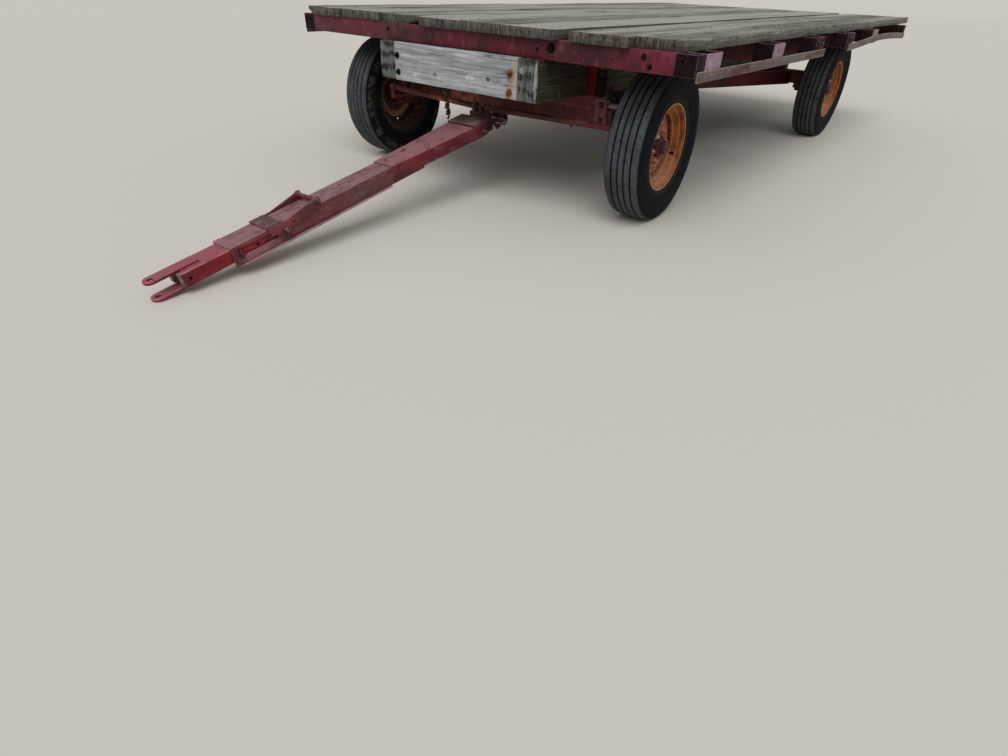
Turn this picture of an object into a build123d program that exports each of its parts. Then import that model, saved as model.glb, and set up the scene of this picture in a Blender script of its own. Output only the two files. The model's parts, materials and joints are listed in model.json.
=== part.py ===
# Four-wheel hay wagon: a plank deck on cross channels and two timber sills, carried by a steel running gear
# with kingpin steering, a centre steering bracket and a hinged, telescoping tongue.
# Millimetres. The tongue points to -Y, the wagon's left is +X, the ground is Z = 0.
import os
from math import asin, atan2, cos, degrees, hypot, radians, sin

from build123d import *

os.makedirs("parts", exist_ok=True)

# Wheels and tyres
tyre_radius = 380.0
tyre_width = 212.0
tread_width = 184.0
tread_drop = 6.0            # fall of the tread from its middle to its shoulder
flank_above = 12.0          # widest part of the tyre above the middle of its section
bead_radius = 203.0         # seat of a 16 inch rim
bead_width = 160.0
rim_flange_radius = 218.0
rim_wall = 5.0
rim_well_radius = 172.0
rim_well_width = 62.0
tyre_fit = 0.4              # gap between tyre and rim
disc_thickness = 8.0
disc_offset = 24.0          # mounting face outboard of the wheel's middle
bolt_circle = 76.0
wheel_bolts = 6
stud_radius = 7.0
nut_radius = 13.0
nut_height = 14.0
bolt_clearance = 0.5
disc_dish = 20.0            # depth from the disc's bolting face to its root in the well
disc_root_radius = 142.0
disc_shoulder_radius = 112.0
hub_radius = 54.0
hub_flange_radius = 98.0
hub_flange = 14.0
hub_nose = 30.0             # hub barrel outboard of its flange
seat_gap = 0.3              # gap between bolted faces
hub_length = 128.0
hub_cap_radius = 34.0
hub_cap_length = 30.0
spindle_radius = 22.0
bearing_fit = 0.08

# Running gear
wheelbase = 3160.0
half_track = 1013.0
steer_at_rest = 3.3         # degrees, tongue swung to the wagon's left
kingpin_offset = 183.0      # kingpins inboard of the wheels' middle planes
kingpin_radius = 16.0
pin_fit = 0.08
eye_neck = 60.0             # tapered end of the beam, up to the kingpin
axle_height = 100.0
axle_depth = 90.0
axle_wall = 8.0
axle_rise = 40.0            # underside of the front beam above the hub line
eye_radius = 32.0
eye_taper = 16.0            # loss of beam height, top and bottom, at the kingpin
knuckle_ear = 22.0
knuckle_gap = 1.0
knuckle_web = 20.0
steering_arm = 160.0        # forward reach of each steering arm
steering_spread = 45.0      # outward reach of each steering arm
arm_boss_radius = 18.0
spindle_seat = 34.0         # knuckle web below the hub line
tie_rod_radius = 16.0
tie_eye_radius = 21.0
tie_eye_height = 36.0
tie_rod_above = 44.0        # tie rods above the front beam's underside
tie_pin_radius = 8.0
tie_boss = 5.0              # seat under each inner tie rod eye
bolster_height = 60.0
bolster_depth = 110.0
bolster_past = 28.0         # bolster ends outboard of the stakes
rear_axle_rise = 20.0
rear_stub = 40.0            # rear beam past the front beam's half length
stub_below = 36.0           # spindle carriers below the hub line
stub_block = 60.0           # width of each spindle carrier
stub_trim = 5.0             # carriers inside the beam's faces
reach_size = 76.0
reach_wall = 6.0
hound_height = 110.0
hound_below = 10.0          # rear hounds below the rear beam's underside
hound_inset = 30.0          # rear hounds' outer edges inboard of the beam's ends
hound_wall = 9.0
hound_tip = 40.0            # width of each rear hound's foot
hound_root = 90.0           # length of its joint along the reach
hound_web = 10.0
hound_open = 140.0          # depth of the channel behind the web
brace_thickness = 14.0
brace_foot = 500.0          # outer edge of each front hound under the axle
brace_width = 70.0
brace_reach = 640.0         # front hounds meet the reach this far behind the axle
brace_tip = 100.0
brace_gap = 3.0             # half the gap between the front hounds' tips
hound_start = 1420.0        # where the rear hounds leave the reach, behind the front axle
stake_width = 52.0
stake_depth = 60.0
stake_wall = 7.0
stake_below_frame = 18.0
stake_gap = 5.0             # between a stake and its sill
stake_wing = 62.0           # upright plate outboard of each front stake
wing_plate = 8.0
wing_below_frame = 60.0
wing_lug = 45.0             # square lug on that plate's outboard edge
lug_below_frame = 160.0
gusset_plate = 10.0         # upright plate between the front bolster's end and the beam's face
gusset_above = 25.0         # over the beam's underside
gusset_below = 5.0          # under the bolster's top
beam_end = 30.0             # solid end of each axle beam

# Steering bracket and tongue
pivot_ahead = 90.0          # steering pivot ahead of the front axle
pivot_pin_radius = 20.0
pivot_hub_radius = 34.0
pivot_hub_height = 32.0
yoke_plate = 12.0
yoke_web = 42.0             # front face of the yoke's web ahead of the front axle
pivot_gap = 1.0
hinge_ahead = 365.0         # tongue hinge ahead of the front axle
hinge_below = 60.0          # tongue hinge below the axle's underside
hinge_pin_radius = 11.0
hinge_lug_radius = 26.0
bracket_half = 90.0
bracket_plate = 14.0
bracket_nose = 20.0         # plate ahead of the hinge
arm_above_hub = 8.0         # hub arm above the underside of the pivot hub
lug_width = 18.0
tie_block = 50.0            # length of the block under the tie rods' pins
tongue_wall = 5.0
tongue_half_rear = 102.0
tongue_half_step = 68.0
tongue_top = 43.0
tongue_bottom = -29.0
tongue_straight = 35.0      # parallel part of the box ahead of the hinge
tongue_tail = 45.0          # box behind the hinge
tail_cut = 34.0             # lower corner cut off the tail
cover_plate = 10.0          # raised plate over the hinge
cover_front = 72.0
cover_rear = 60.0
cover_inset = 4.0
step_at = 704.0             # front end of the tapered box, along the tongue from the hinge
sleeve_half = 63.0
sleeve_top = 38.0
sleeve_bottom = -48.0
sleeve_front = 1660.0
sleeve_rear = 472.0
window_front = 1617.0
window_rear = 1427.0
strap_front = 1390.0
strap_rear = 1032.0
strap_half = 30.0
bar_half = 55.0
bar_top = 32.5
bar_bottom = -31.0
bar_wall = 6.0
bar_front = 1888.0
bar_rear = 1002.0
clevis_plate = 12.0
clevis_half = 30.0
clevis_hole = 1976.0
clevis_hole_radius = 12.5
clevis_root = 1784.0
latch_pin = 1390.0
latch_pipe_radius = 11.0
latch_rear = 1192.0
latch_wall = 6.0
latch_nose = 80.0           # side plates ahead of the latch pin
latch_lobe = 26.0           # rounded foot of the side plates about the latch pin
latch_heel = 18.0           # side plates behind the cross pipe
latch_lip = 8.0             # lower front corner of the side plates above the pin
latch_crown = 78.0          # top of the side plates at their rear

# Hay rack
sill_inner = 455.0
sill_width = 125.0
sill_height = 195.0
sill_front = 490.0          # sill ends ahead of the front axle
sill_rear = 3900.0          # sill ends behind the front axle
board_thickness = 40.0
frame_height = 90.0
frame_half = 1373.0
header_front = 440.0
header_depth = 55.0
frame_wall = 6.0
frame_rear = 3960.0
cross_width = 100.0
cross_first = -270.0        # first cross channel, behind the front axle
front_pitch = 846.0         # from each cross channel to the next: first, second, and both rear pitches
middle_pitch = 763.0
rear_pitch = 725.0
pocket_width = 170.0
pocket_depth = 100.0
pocket_wall = 6.0
pocket_gap = 3.0            # between the corner pocket and the first cross channel's
rail_height = 43.0
rail_thickness = 8.0
rail_drop = 18.0            # rub rail hangs below the frame's underside
rail_past = 28.0            # front rail past the third pocket
rail_start = 25.0           # rear rail ahead of the fourth cross channel
plank_thickness = 45.0
deck_overhang = 15.0        # deck past the ends of the cross channels
deck_rear = 4470.0
# planks from the wagon's right to its left: width, gap after it, front overhang of the header, rear set-back
planks = [
    dict(width=311, gap=5, front=22, rear=0),
    dict(width=345, gap=5, front=8, rear=12),
    dict(width=336, gap=6, front=-6, rear=4),
    dict(width=321, gap=5, front=26, rear=18),
    dict(width=267, gap=5, front=44, rear=6),
    dict(width=327, gap=75, front=46, rear=14),
    dict(width=311, gap=5, front=30, rear=2),
    dict(width=236, gap=0, front=-30, rear=8),
]

# Widths that follow from the track and the frame
kingpin_x = half_track - kingpin_offset
axle_half = kingpin_x - eye_neck
stake_x = sill_inner + sill_width + stake_gap + stake_width / 2
bolster_half = stake_x + stake_width / 2 + bolster_past
hound_foot = axle_half - hound_inset
header_half = frame_half - rail_thickness - pocket_depth
deck_half = header_half + deck_overhang

# Cross channels, behind the front axle
cross_stations = [cross_first]
for pitch in (front_pitch, middle_pitch, rear_pitch, rear_pitch):
    cross_stations.append(cross_stations[-1] + pitch)

# Heights that follow from the stack
axle_bottom = tyre_radius + axle_rise
axle_top = axle_bottom + axle_height
sill_bottom = axle_top + bolster_height
frame_bottom = sill_bottom + sill_height
frame_top = frame_bottom + frame_height
deck_top = frame_top + plank_thickness
rear_axle_bottom = tyre_radius + rear_axle_rise
rear_axle_top = rear_axle_bottom + axle_height
hinge_z = axle_bottom - hinge_below
tie_rod_z = axle_bottom + tie_rod_above
arm_top = tie_rod_z - tie_eye_height / 2 - 1.0

# The tongue lies on the ground: its pitch puts the lower ear's tip on Z = 0
tip_along = clevis_hole + clevis_half
tip_below = clevis_plate - bar_bottom
tongue_pitch = asin(hinge_z / hypot(tip_along, tip_below)) - atan2(tip_below, tip_along)
steer = radians(steer_at_rest)

# The origin is midway between the clevis tip and the deck's rear edge
hole_reach = clevis_hole * cos(tongue_pitch) + (bar_top + clevis_plate) * sin(tongue_pitch)
tip_y = (-pivot_ahead - (hinge_ahead - pivot_ahead + hole_reach) * cos(steer)
         - clevis_half * hypot(cos(tongue_pitch) * cos(steer), sin(steer)))
front_axle_y = -(tip_y + deck_rear) / 2
rear_axle_y = front_axle_y + wheelbase

# Frames of the pieces that are built straight ahead and then set at their rest pose
bracket_frame = Location((0, front_axle_y - pivot_ahead, 0), (0, 0, steer_at_rest))
tongue_frame = bracket_frame * Location((0, pivot_ahead - hinge_ahead, hinge_z), (degrees(tongue_pitch), 0, 0))
SIDES = {"left": 1, "right": -1}
knuckle_frames = {hand: Location((side * kingpin_x, front_axle_y, 0), (0, 0, steer_at_rest))
                  for hand, side in SIDES.items()}


def save(piece, name, frame=None):
    """Label a finished piece, set it in its frame and write its STEP file."""
    piece.part.label = name
    if frame is not None:
        piece.part.locate(frame)
    export_step(piece.part, f"parts/{name}.step")


def level(z):
    return Plane.XY.offset(z)


def across(y):
    return Plane.XZ.offset(-y)


def along(x):
    return Plane.YZ.offset(x)


# Wheels: built about the X axis with the outboard side to +X
def make_tyre():
    half, tread, bead = tyre_width / 2, tread_width / 2, bead_width / 2
    bore = bead_radius + tyre_fit
    flank = (tyre_radius + bore) / 2 + flank_above
    shoulder = tyre_radius - tread_drop
    with BuildPart() as tyre:
        with BuildSketch(Plane.XY):
            with BuildLine():
                Line((-bead, bore), (bead, bore))
                for s in (1, -1):
                    ThreePointArc((s * bead, rim_flange_radius + 4), (s * half, flank), (s * tread, shoulder))
                    Line((s * bead, bore), (s * bead, rim_flange_radius + 4))
                ThreePointArc((-tread, shoulder), (0, tyre_radius), (tread, shoulder))
            make_face()
        revolve(axis=Axis.X)
    return tyre


def make_rim():
    flange, seat, well = bead_width / 2 + rim_wall, bead_width / 2 - 22, rim_well_width / 2
    outer = [(flange, rim_flange_radius), (bead_width / 2, rim_flange_radius), (bead_width / 2, bead_radius),
             (seat, bead_radius), (well, rim_well_radius)]
    inner = [(well - rim_wall / 2, rim_well_radius - rim_wall), (seat - rim_wall / 2, bead_radius - rim_wall),
             (flange, bead_radius - rim_wall)]
    half_section = outer + [(-x, r) for x, r in reversed(outer)] + [(-x, r) for x, r in reversed(inner)] + inner
    disc_edge = rim_well_radius - rim_wall / 2
    root, back = disc_offset - disc_dish, disc_offset - disc_thickness
    with BuildPart() as rim:
        with BuildSketch(Plane.XY):
            with BuildLine():
                Polyline(*half_section, close=True)
            make_face()
        revolve(axis=Axis.X)
        # dished disc between the well and the hub flange
        with BuildSketch(Plane.XY):
            with BuildLine():
                Polyline((disc_offset, hub_radius + bolt_clearance), (disc_offset, disc_shoulder_radius),
                         (root, disc_root_radius), (root, disc_edge), (root - disc_thickness, disc_edge),
                         (root - disc_thickness, disc_root_radius - 4), (back, disc_shoulder_radius - 4),
                         (back, hub_radius + bolt_clearance), close=True)
            make_face()
        revolve(axis=Axis.X)
        with BuildSketch(along(disc_offset)):
            with PolarLocations(bolt_circle, wheel_bolts):
                Circle(stud_radius + bolt_clearance)
        extrude(amount=-disc_thickness - 1, mode=Mode.SUBTRACT)
    return rim


def make_hub():
    face = disc_offset - disc_thickness - seat_gap
    inner_end = face - hub_length + 2 * hub_nose - 10
    with BuildPart() as hub:
        with BuildSketch(Plane.XY):
            with BuildLine():
                Polyline((face, spindle_radius + bearing_fit), (face, hub_flange_radius),
                         (face - hub_flange, hub_flange_radius), (face - hub_flange - 4, hub_radius),
                         (inner_end, hub_radius - 6), (inner_end, spindle_radius + bearing_fit), close=True)
            make_face()
        revolve(axis=Axis.X)
        with BuildSketch(along(face)):
            Circle(hub_radius)
            Circle(spindle_radius + bearing_fit, mode=Mode.SUBTRACT)
        extrude(amount=hub_nose)
        with BuildSketch(along(face + hub_nose)):
            Circle(hub_cap_radius)
        extrude(amount=hub_cap_length, taper=8)
        # studs through the disc, with their nuts
        with BuildSketch(along(face)):
            with PolarLocations(bolt_circle, wheel_bolts):
                Circle(stud_radius)
        extrude(amount=disc_thickness + nut_height + 6)
        with BuildSketch(along(disc_offset + seat_gap)):
            with PolarLocations(bolt_circle, wheel_bolts):
                RegularPolygon(nut_radius, 6)
        extrude(amount=nut_height)
    return hub


wheel_seats = {
    "front_left": knuckle_frames["left"] * Location((half_track - kingpin_x, 0, tyre_radius)),
    "front_right": knuckle_frames["right"] * Location((kingpin_x - half_track, 0, tyre_radius), (0, 0, 180)),
    "rear_left": Location((half_track, rear_axle_y, tyre_radius)),
    "rear_right": Location((-half_track, rear_axle_y, tyre_radius), (0, 0, 180)),
}
for corner, seat in wheel_seats.items():
    save(make_tyre(), f"tyre_{corner}", seat)
    save(make_rim(), f"rim_{corner}", seat)
    save(make_hub(), f"hub_{corner}", seat)

# Front axle: a channel open to the rear, with a kingpin eye at each end and a pivot yoke in the middle
pivot_y = front_axle_y - pivot_ahead
hub_high = axle_bottom - yoke_plate - pivot_gap
hub_low = hub_high - pivot_hub_height
yoke_low = hub_low - pivot_gap - yoke_plate
eye_low, eye_high = axle_bottom + eye_taper, axle_top - eye_taper
with BuildPart() as front_axle:
    with BuildSketch(across(front_axle_y)):
        with BuildLine():
            Polyline((-axle_half, axle_top), (axle_half, axle_top), (kingpin_x, eye_high), (kingpin_x, eye_low),
                     (axle_half, axle_bottom), (-axle_half, axle_bottom), (-kingpin_x, eye_low),
                     (-kingpin_x, eye_high), close=True)
        make_face()
    extrude(amount=axle_depth / 2, both=True)
    with Locations((0, front_axle_y + axle_wall, (axle_bottom + axle_top) / 2)):
        Box(2 * (axle_half - beam_end), axle_depth, axle_height - 2 * axle_wall, mode=Mode.SUBTRACT)
    # trim the beam ends to the eye's width
    for side in SIDES.values():
        with BuildSketch(level(axle_bottom)):
            with Locations((side * kingpin_x, front_axle_y)):
                Rectangle(2 * (kingpin_x - axle_half), axle_depth + 2)
                Rectangle(2 * (kingpin_x - axle_half), 2 * eye_radius - 8, mode=Mode.SUBTRACT)
        extrude(amount=axle_height, mode=Mode.SUBTRACT)
        with BuildSketch(level(axle_bottom)):
            with Locations((side * kingpin_x, front_axle_y)):
                Circle(eye_radius)
        extrude(amount=axle_height)
        with BuildSketch(level(axle_bottom)):
            with Locations((side * kingpin_x, front_axle_y)):
                Circle(kingpin_radius + pin_fit)
        extrude(amount=axle_height, mode=Mode.SUBTRACT)
save(front_axle, "front_axle")

with BuildPart() as pivot_yoke:
    with BuildSketch(along(0)):
        with BuildLine():
            web_front, web_back = front_axle_y - yoke_web, front_axle_y - yoke_web + yoke_plate
            Polyline((front_axle_y, axle_bottom), (pivot_y, axle_bottom), (pivot_y, axle_bottom - yoke_plate),
                     (web_front, axle_bottom - yoke_plate), (web_front, yoke_low + yoke_plate),
                     (pivot_y, yoke_low + yoke_plate), (pivot_y, yoke_low), (web_back, yoke_low),
                     (web_back, axle_bottom - yoke_plate), (front_axle_y, axle_bottom - yoke_plate), close=True)
        make_face()
    extrude(amount=pivot_hub_radius, both=True)
    for bottom in (yoke_low, axle_bottom - yoke_plate):
        with BuildSketch(level(bottom)):
            with Locations((0, pivot_y)):
                Circle(pivot_hub_radius)
        extrude(amount=yoke_plate)
    with BuildSketch(level(yoke_low - 8)):
        with Locations((0, pivot_y)):
            Circle(pivot_pin_radius)
    extrude(amount=axle_bottom - yoke_low + 8)
save(pivot_yoke, "pivot_yoke")


# Bolsters: a box on each axle with a tubular stake outboard of each sill
def make_bolster(y, bottom):
    with BuildPart() as bolster:
        sizes = (2 * bolster_half, bolster_depth, sill_bottom - bottom)
        with Locations((0, y, (bottom + sill_bottom) / 2)):
            Box(*sizes)
            Box(*[size - 2 * axle_wall for size in sizes], mode=Mode.SUBTRACT)
        for side in SIDES.values():
            with BuildSketch(level(sill_bottom)):
                with Locations((side * stake_x, y)):
                    Rectangle(stake_width, stake_depth)
                    Rectangle(stake_width - 2 * stake_wall, stake_depth - 2 * stake_wall, mode=Mode.SUBTRACT)
            extrude(amount=sill_height - stake_below_frame)
    return bolster


front_bolster = make_bolster(front_axle_y, axle_top)
with front_bolster:
    for side in SIDES.values():
        # gusset: outboard of the bolster, flat on the beam's front face
        gusset_low, gusset_high = axle_bottom + gusset_above, sill_bottom - gusset_below
        gusset_width = axle_half - beam_end - bolster_half
        gusset_y = front_axle_y - (axle_depth + gusset_plate) / 2
        with Locations((side * (bolster_half + gusset_width / 2), gusset_y, (gusset_low + gusset_high) / 2)):
            Box(gusset_width, gusset_plate, gusset_high - gusset_low)
        # wing: outboard of the stake, with a lug on its edge
        stake_face = stake_x + stake_width / 2
        wing_top = frame_bottom - wing_below_frame
        wing_y = front_axle_y - (stake_depth - wing_plate) / 2
        with Locations((side * (stake_face + stake_wing / 2), wing_y, (sill_bottom + wing_top) / 2)):
            Box(stake_wing, wing_plate, wing_top - sill_bottom)
        with Locations((side * (stake_face + stake_wing + wing_lug / 2), wing_y, frame_bottom - lug_below_frame)):
            Box(wing_lug, wing_plate, wing_lug)
save(front_bolster, "front_bolster")
save(make_bolster(rear_axle_y, rear_axle_top), "rear_bolster")

# Rear axle: the same channel, with a stub and spindle at each end
with BuildPart() as rear_axle:
    with Locations((0, rear_axle_y, (rear_axle_bottom + rear_axle_top) / 2)):
        Box(2 * (axle_half + rear_stub), axle_depth, axle_height)
    with Locations((0, rear_axle_y + axle_wall, (rear_axle_bottom + rear_axle_top) / 2)):
        Box(2 * (axle_half - beam_end), axle_depth, axle_height - 2 * axle_wall, mode=Mode.SUBTRACT)
    for side in SIDES.values():
        stub_x, stub_z = axle_half + rear_stub + stub_block / 4, (tyre_radius - stub_below + rear_axle_top) / 2
        with Locations((side * stub_x, rear_axle_y, stub_z)):
            Box(stub_block, axle_depth - 2 * stub_trim, rear_axle_top - tyre_radius + stub_below)
        with Locations(Location((side * (axle_half + half_track) / 2, rear_axle_y, tyre_radius), (0, 90, 0))):
            Cylinder(spindle_radius, half_track - axle_half)
save(rear_axle, "rear_axle")

# Reach: a square tube between the axles
reach_front, reach_rear = front_axle_y + axle_depth / 2, rear_axle_y - axle_depth / 2
reach_z = axle_bottom + reach_size / 2
with BuildPart() as reach:
    with Locations((0, (reach_front + reach_rear) / 2, reach_z)):
        Box(reach_size, reach_rear - reach_front, reach_size)
        Box(reach_size - 2 * reach_wall, reach_rear - reach_front, reach_size - 2 * reach_wall, mode=Mode.SUBTRACT)
save(reach, "reach")

# Rear hounds: two channels spreading from the reach to the rear axle's ends
for hand, side in SIDES.items():
    with BuildPart() as hound:
        with BuildSketch(level(rear_axle_bottom - hound_below)):
            with BuildLine():
                near, far = front_axle_y + hound_start, rear_axle_y - axle_depth / 2
                Polyline((side * reach_size / 2, near), (side * hound_foot, far),
                         (side * (hound_foot - hound_tip), far), (side * reach_size / 2, near + hound_root),
                         close=True)
            make_face()
        extrude(amount=hound_height)
        with BuildSketch(level(rear_axle_bottom - hound_below + hound_wall)):
            with BuildLine():
                root_x, back = side * (reach_size / 2 - hound_web), far + hound_web
                Polyline((root_x, near + 2 * hound_web), (side * (hound_foot - 2 * hound_web), back),
                         (side * (hound_foot - hound_open), back), (root_x, near + hound_open + 2 * hound_web),
                         close=True)
            make_face()
        extrude(amount=hound_height - 2 * hound_wall, mode=Mode.SUBTRACT)
    save(hound, f"rear_hound_{hand}")

# Front hounds: flat bars under the axle and the reach
for hand, side in SIDES.items():
    with BuildPart() as brace:
        with BuildSketch(level(axle_bottom - brace_thickness)):
            with BuildLine():
                Polyline((side * brace_foot, front_axle_y), (side * (brace_foot - brace_width), front_axle_y),
                         (side * brace_gap, front_axle_y + brace_reach),
                         (side * brace_gap, front_axle_y + brace_reach + brace_tip), close=True)
            make_face()
        extrude(amount=brace_thickness)
    save(brace, f"front_hound_{hand}")

# Knuckles: a fork on the kingpin eye, a spindle and a steering arm; each in its own kingpin's frame
ear_top = axle_top + knuckle_gap
ear_low = axle_bottom - knuckle_gap - knuckle_ear
web_inner = eye_radius + 6
for hand, side in SIDES.items():
    with BuildPart() as knuckle:
        for bottom in (ear_top, ear_low):
            with BuildSketch(level(bottom)):
                Circle(eye_radius)
                with Locations((side * (web_inner + knuckle_web) / 2, 0)):
                    Rectangle(web_inner + knuckle_web, 2 * eye_radius)
            extrude(amount=knuckle_ear)
        web_low, web_high = tyre_radius - spindle_seat, ear_top + knuckle_ear
        with Locations((side * (web_inner + knuckle_web / 2), 0, (web_low + web_high) / 2)):
            Box(knuckle_web, 2 * eye_radius, web_high - web_low)
        with BuildSketch(level(ear_low)):
            Circle(kingpin_radius)
        extrude(amount=ear_top + knuckle_ear + 10 - ear_low)
        with Locations(Location((side * (web_inner + half_track - kingpin_x) / 2, 0, tyre_radius), (0, 90, 0))):
            Cylinder(spindle_radius, half_track - kingpin_x - web_inner)
        # steering arm with the ball stud at its end
        with BuildSketch(level(ear_low)):
            with BuildLine():
                Polyline((-side * 20, 0), (side * (steering_spread - arm_boss_radius), -steering_arm),
                         (side * (steering_spread + arm_boss_radius), -steering_arm), (side * 30, 0), close=True)
            make_face()
            with Locations((side * steering_spread, -steering_arm)):
                Circle(arm_boss_radius)
        extrude(amount=knuckle_ear)
        with BuildSketch(level(ear_low)):
            with Locations((side * steering_spread, -steering_arm)):
                Circle(arm_boss_radius)
        extrude(amount=arm_top - ear_low)
        with BuildSketch(level(ear_low)):
            with Locations((side * steering_spread, -steering_arm)):
                Circle(tie_pin_radius)
        extrude(amount=tie_rod_z + tie_eye_height / 2 + 6 - ear_low)
    save(knuckle, f"knuckle_{hand}", knuckle_frames[hand])

# Tie rods: from the bracket's pins to the knuckles' studs
for hand, side in SIDES.items():
    arm_x = side * steering_spread * cos(steer) + steering_arm * sin(steer)
    arm_y = side * steering_spread * sin(steer) - steering_arm * cos(steer)
    start = Vector(arm_x, pivot_y + arm_y, tie_rod_z)
    end = Vector(side * kingpin_x + arm_x, front_axle_y + arm_y, tie_rod_z)
    span = end - start
    with BuildPart() as tie_rod:
        with BuildSketch(Plane(origin=start, z_dir=span.normalized())):
            Circle(tie_rod_radius)
        extrude(amount=span.length)
        for eye in (start, end):
            with Locations(eye):
                Cylinder(tie_eye_radius, tie_eye_height)
        for eye, fit in ((start, pin_fit), (end, 3 * pin_fit)):
            with Locations(eye):
                Cylinder(tie_pin_radius + fit, tie_eye_height + 2, mode=Mode.SUBTRACT)
    save(tie_rod, f"tie_rod_{hand}")

# Steering bracket: swings on the pivot pin, carries both tie rods and the tongue's hinge
hinge_local = pivot_ahead - hinge_ahead
plate_low = hinge_z - bracket_plate
block_half = steering_spread + tie_eye_radius + 4
block_rear = tie_block / 2 - steering_arm
with BuildPart() as steering_bracket:
    # plate under the tongue's tail, from the tie rods' block to the hinge
    with BuildSketch(level(plate_low)):
        with BuildLine():
            nose, waist = hinge_local - bracket_nose, hinge_local + tongue_tail
            Polyline((block_half, block_rear), (bracket_half, waist), (bracket_half, nose), (-bracket_half, nose),
                     (-bracket_half, waist), (-block_half, block_rear), close=True)
        make_face()
    extrude(amount=bracket_plate)
    # hub on the pivot pin, with an arm to the block
    with BuildSketch(level(hub_low)):
        Circle(pivot_hub_radius)
    extrude(amount=pivot_hub_height)
    with BuildSketch(level(hub_low + arm_above_hub)):
        with BuildLine():
            Polyline((pivot_hub_radius, 0), (block_half, block_rear), (-block_half, block_rear),
                     (-pivot_hub_radius, 0), close=True)
        make_face()
    extrude(amount=bracket_plate)
    with Locations((0, -steering_arm, (plate_low + arm_top - tie_boss) / 2)):
        Box(2 * block_half, tie_block, arm_top - tie_boss - plate_low)
    for side in SIDES.values():
        with Locations((side * steering_spread, -steering_arm, arm_top - tie_boss / 2)):
            Cylinder(arm_boss_radius, tie_boss)
        with BuildSketch(level(arm_top)):
            with Locations((side * steering_spread, -steering_arm)):
                Circle(tie_pin_radius)
        extrude(amount=tie_eye_height + 8)
        with BuildSketch(along(side * (bracket_half - lug_width / 2))):
            with Locations((hinge_local, hinge_z)):
                Circle(hinge_lug_radius)
        extrude(amount=lug_width / 2, both=True)
    with Locations(Location((0, hinge_local, hinge_z), (0, 90, 0))):
        Cylinder(hinge_pin_radius + pin_fit, 2 * bracket_half + 4, mode=Mode.SUBTRACT)
    with Locations((0, 0, (hub_low + hub_high) / 2)):
        Cylinder(pivot_pin_radius + pin_fit, 200, mode=Mode.SUBTRACT)
save(steering_bracket, "steering_bracket", bracket_frame)


# Tongue pieces: local frame at the hinge, forward is -Y, up is +Z
def along_tongue(start, end, half, bottom, top, mode=Mode.ADD):
    with Locations((0, -(start + end) / 2, (bottom + top) / 2)):
        Box(2 * half, end - start, top - bottom, mode=mode)


with BuildPart() as tongue_box:
    with BuildSketch(level(tongue_bottom)):
        with BuildLine():
            Polyline((-tongue_half_rear, tongue_tail), (tongue_half_rear, tongue_tail),
                     (tongue_half_rear, -tongue_straight), (tongue_half_step, -step_at),
                     (-tongue_half_step, -step_at), (-tongue_half_rear, -tongue_straight), close=True)
        make_face()
    extrude(amount=tongue_top - tongue_bottom)
    with BuildSketch(level(tongue_bottom - 1)):
        with BuildLine():
            rear, step = tongue_half_rear - tongue_wall, tongue_half_step - tongue_wall
            Polyline((-rear, tongue_tail + 1), (rear, tongue_tail + 1), (rear, -tongue_straight),
                     (step, -step_at - 1), (-step, -step_at - 1), (-rear, -tongue_straight), close=True)
        make_face()
    extrude(amount=tongue_top - tongue_bottom + 1 - tongue_wall, mode=Mode.SUBTRACT)
    # the tail's lower corner is cut back so that the box can swing up past the bracket
    with BuildSketch(along(0)):
        with BuildLine():
            Polyline((tongue_tail - tail_cut, tongue_bottom), (tongue_tail, tongue_bottom + tail_cut),
                     (tongue_tail + 1, tongue_bottom - 1), close=True)
        make_face()
    extrude(amount=tongue_half_rear + 1, both=True, mode=Mode.SUBTRACT)
    along_tongue(-cover_rear, cover_front, tongue_half_rear - cover_inset, tongue_top, tongue_top + cover_plate)
    with Locations(Location((0, 0, 0), (0, 90, 0))):
        Cylinder(hinge_pin_radius, 2 * (tongue_half_rear + 15))
save(tongue_box, "tongue_box", tongue_frame)

with BuildPart() as tongue_sleeve:
    along_tongue(sleeve_rear, sleeve_front, sleeve_half, sleeve_bottom, sleeve_top)
    along_tongue(sleeve_rear - 1, sleeve_front + 1, sleeve_half - tongue_wall, sleeve_bottom - 1,
                 sleeve_top - tongue_wall, mode=Mode.SUBTRACT)
    along_tongue(window_rear, window_front, sleeve_half + 1, bar_bottom + 2, bar_top - 12, mode=Mode.SUBTRACT)
    # cross straps that carry the extension bar
    for at in (strap_rear, strap_front):
        along_tongue(at - strap_half, at + strap_half, sleeve_half - tongue_wall, bar_bottom - 7, bar_bottom - 1)
save(tongue_sleeve, "tongue_sleeve", tongue_frame)

with BuildPart() as extension_bar:
    along_tongue(bar_rear, bar_front, bar_half, bar_bottom, bar_top)
    along_tongue(bar_rear - 1, bar_front - 60, bar_half - bar_wall, bar_bottom + bar_wall, bar_top - bar_wall,
                 mode=Mode.SUBTRACT)
    with BuildSketch(level(bar_bottom)):
        with Locations((0, -bar_front)):
            Circle(clevis_half - 4)
    extrude(amount=bar_top - bar_bottom, mode=Mode.SUBTRACT)
save(extension_bar, "extension_bar", tongue_frame)

for name, bottom in (("clevis_upper", bar_top), ("clevis_lower", bar_bottom - clevis_plate)):
    with BuildPart() as ear:
        with BuildSketch(level(bottom)):
            with Locations((0, -clevis_hole)):
                Circle(clevis_half)
            with Locations((0, -(clevis_hole + clevis_root) / 2)):
                Rectangle(2 * clevis_half, clevis_hole - clevis_root)
            with Locations((0, -clevis_hole)):
                Circle(clevis_hole_radius, mode=Mode.SUBTRACT)
        extrude(amount=clevis_plate)
    save(ear, name, tongue_frame)

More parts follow.
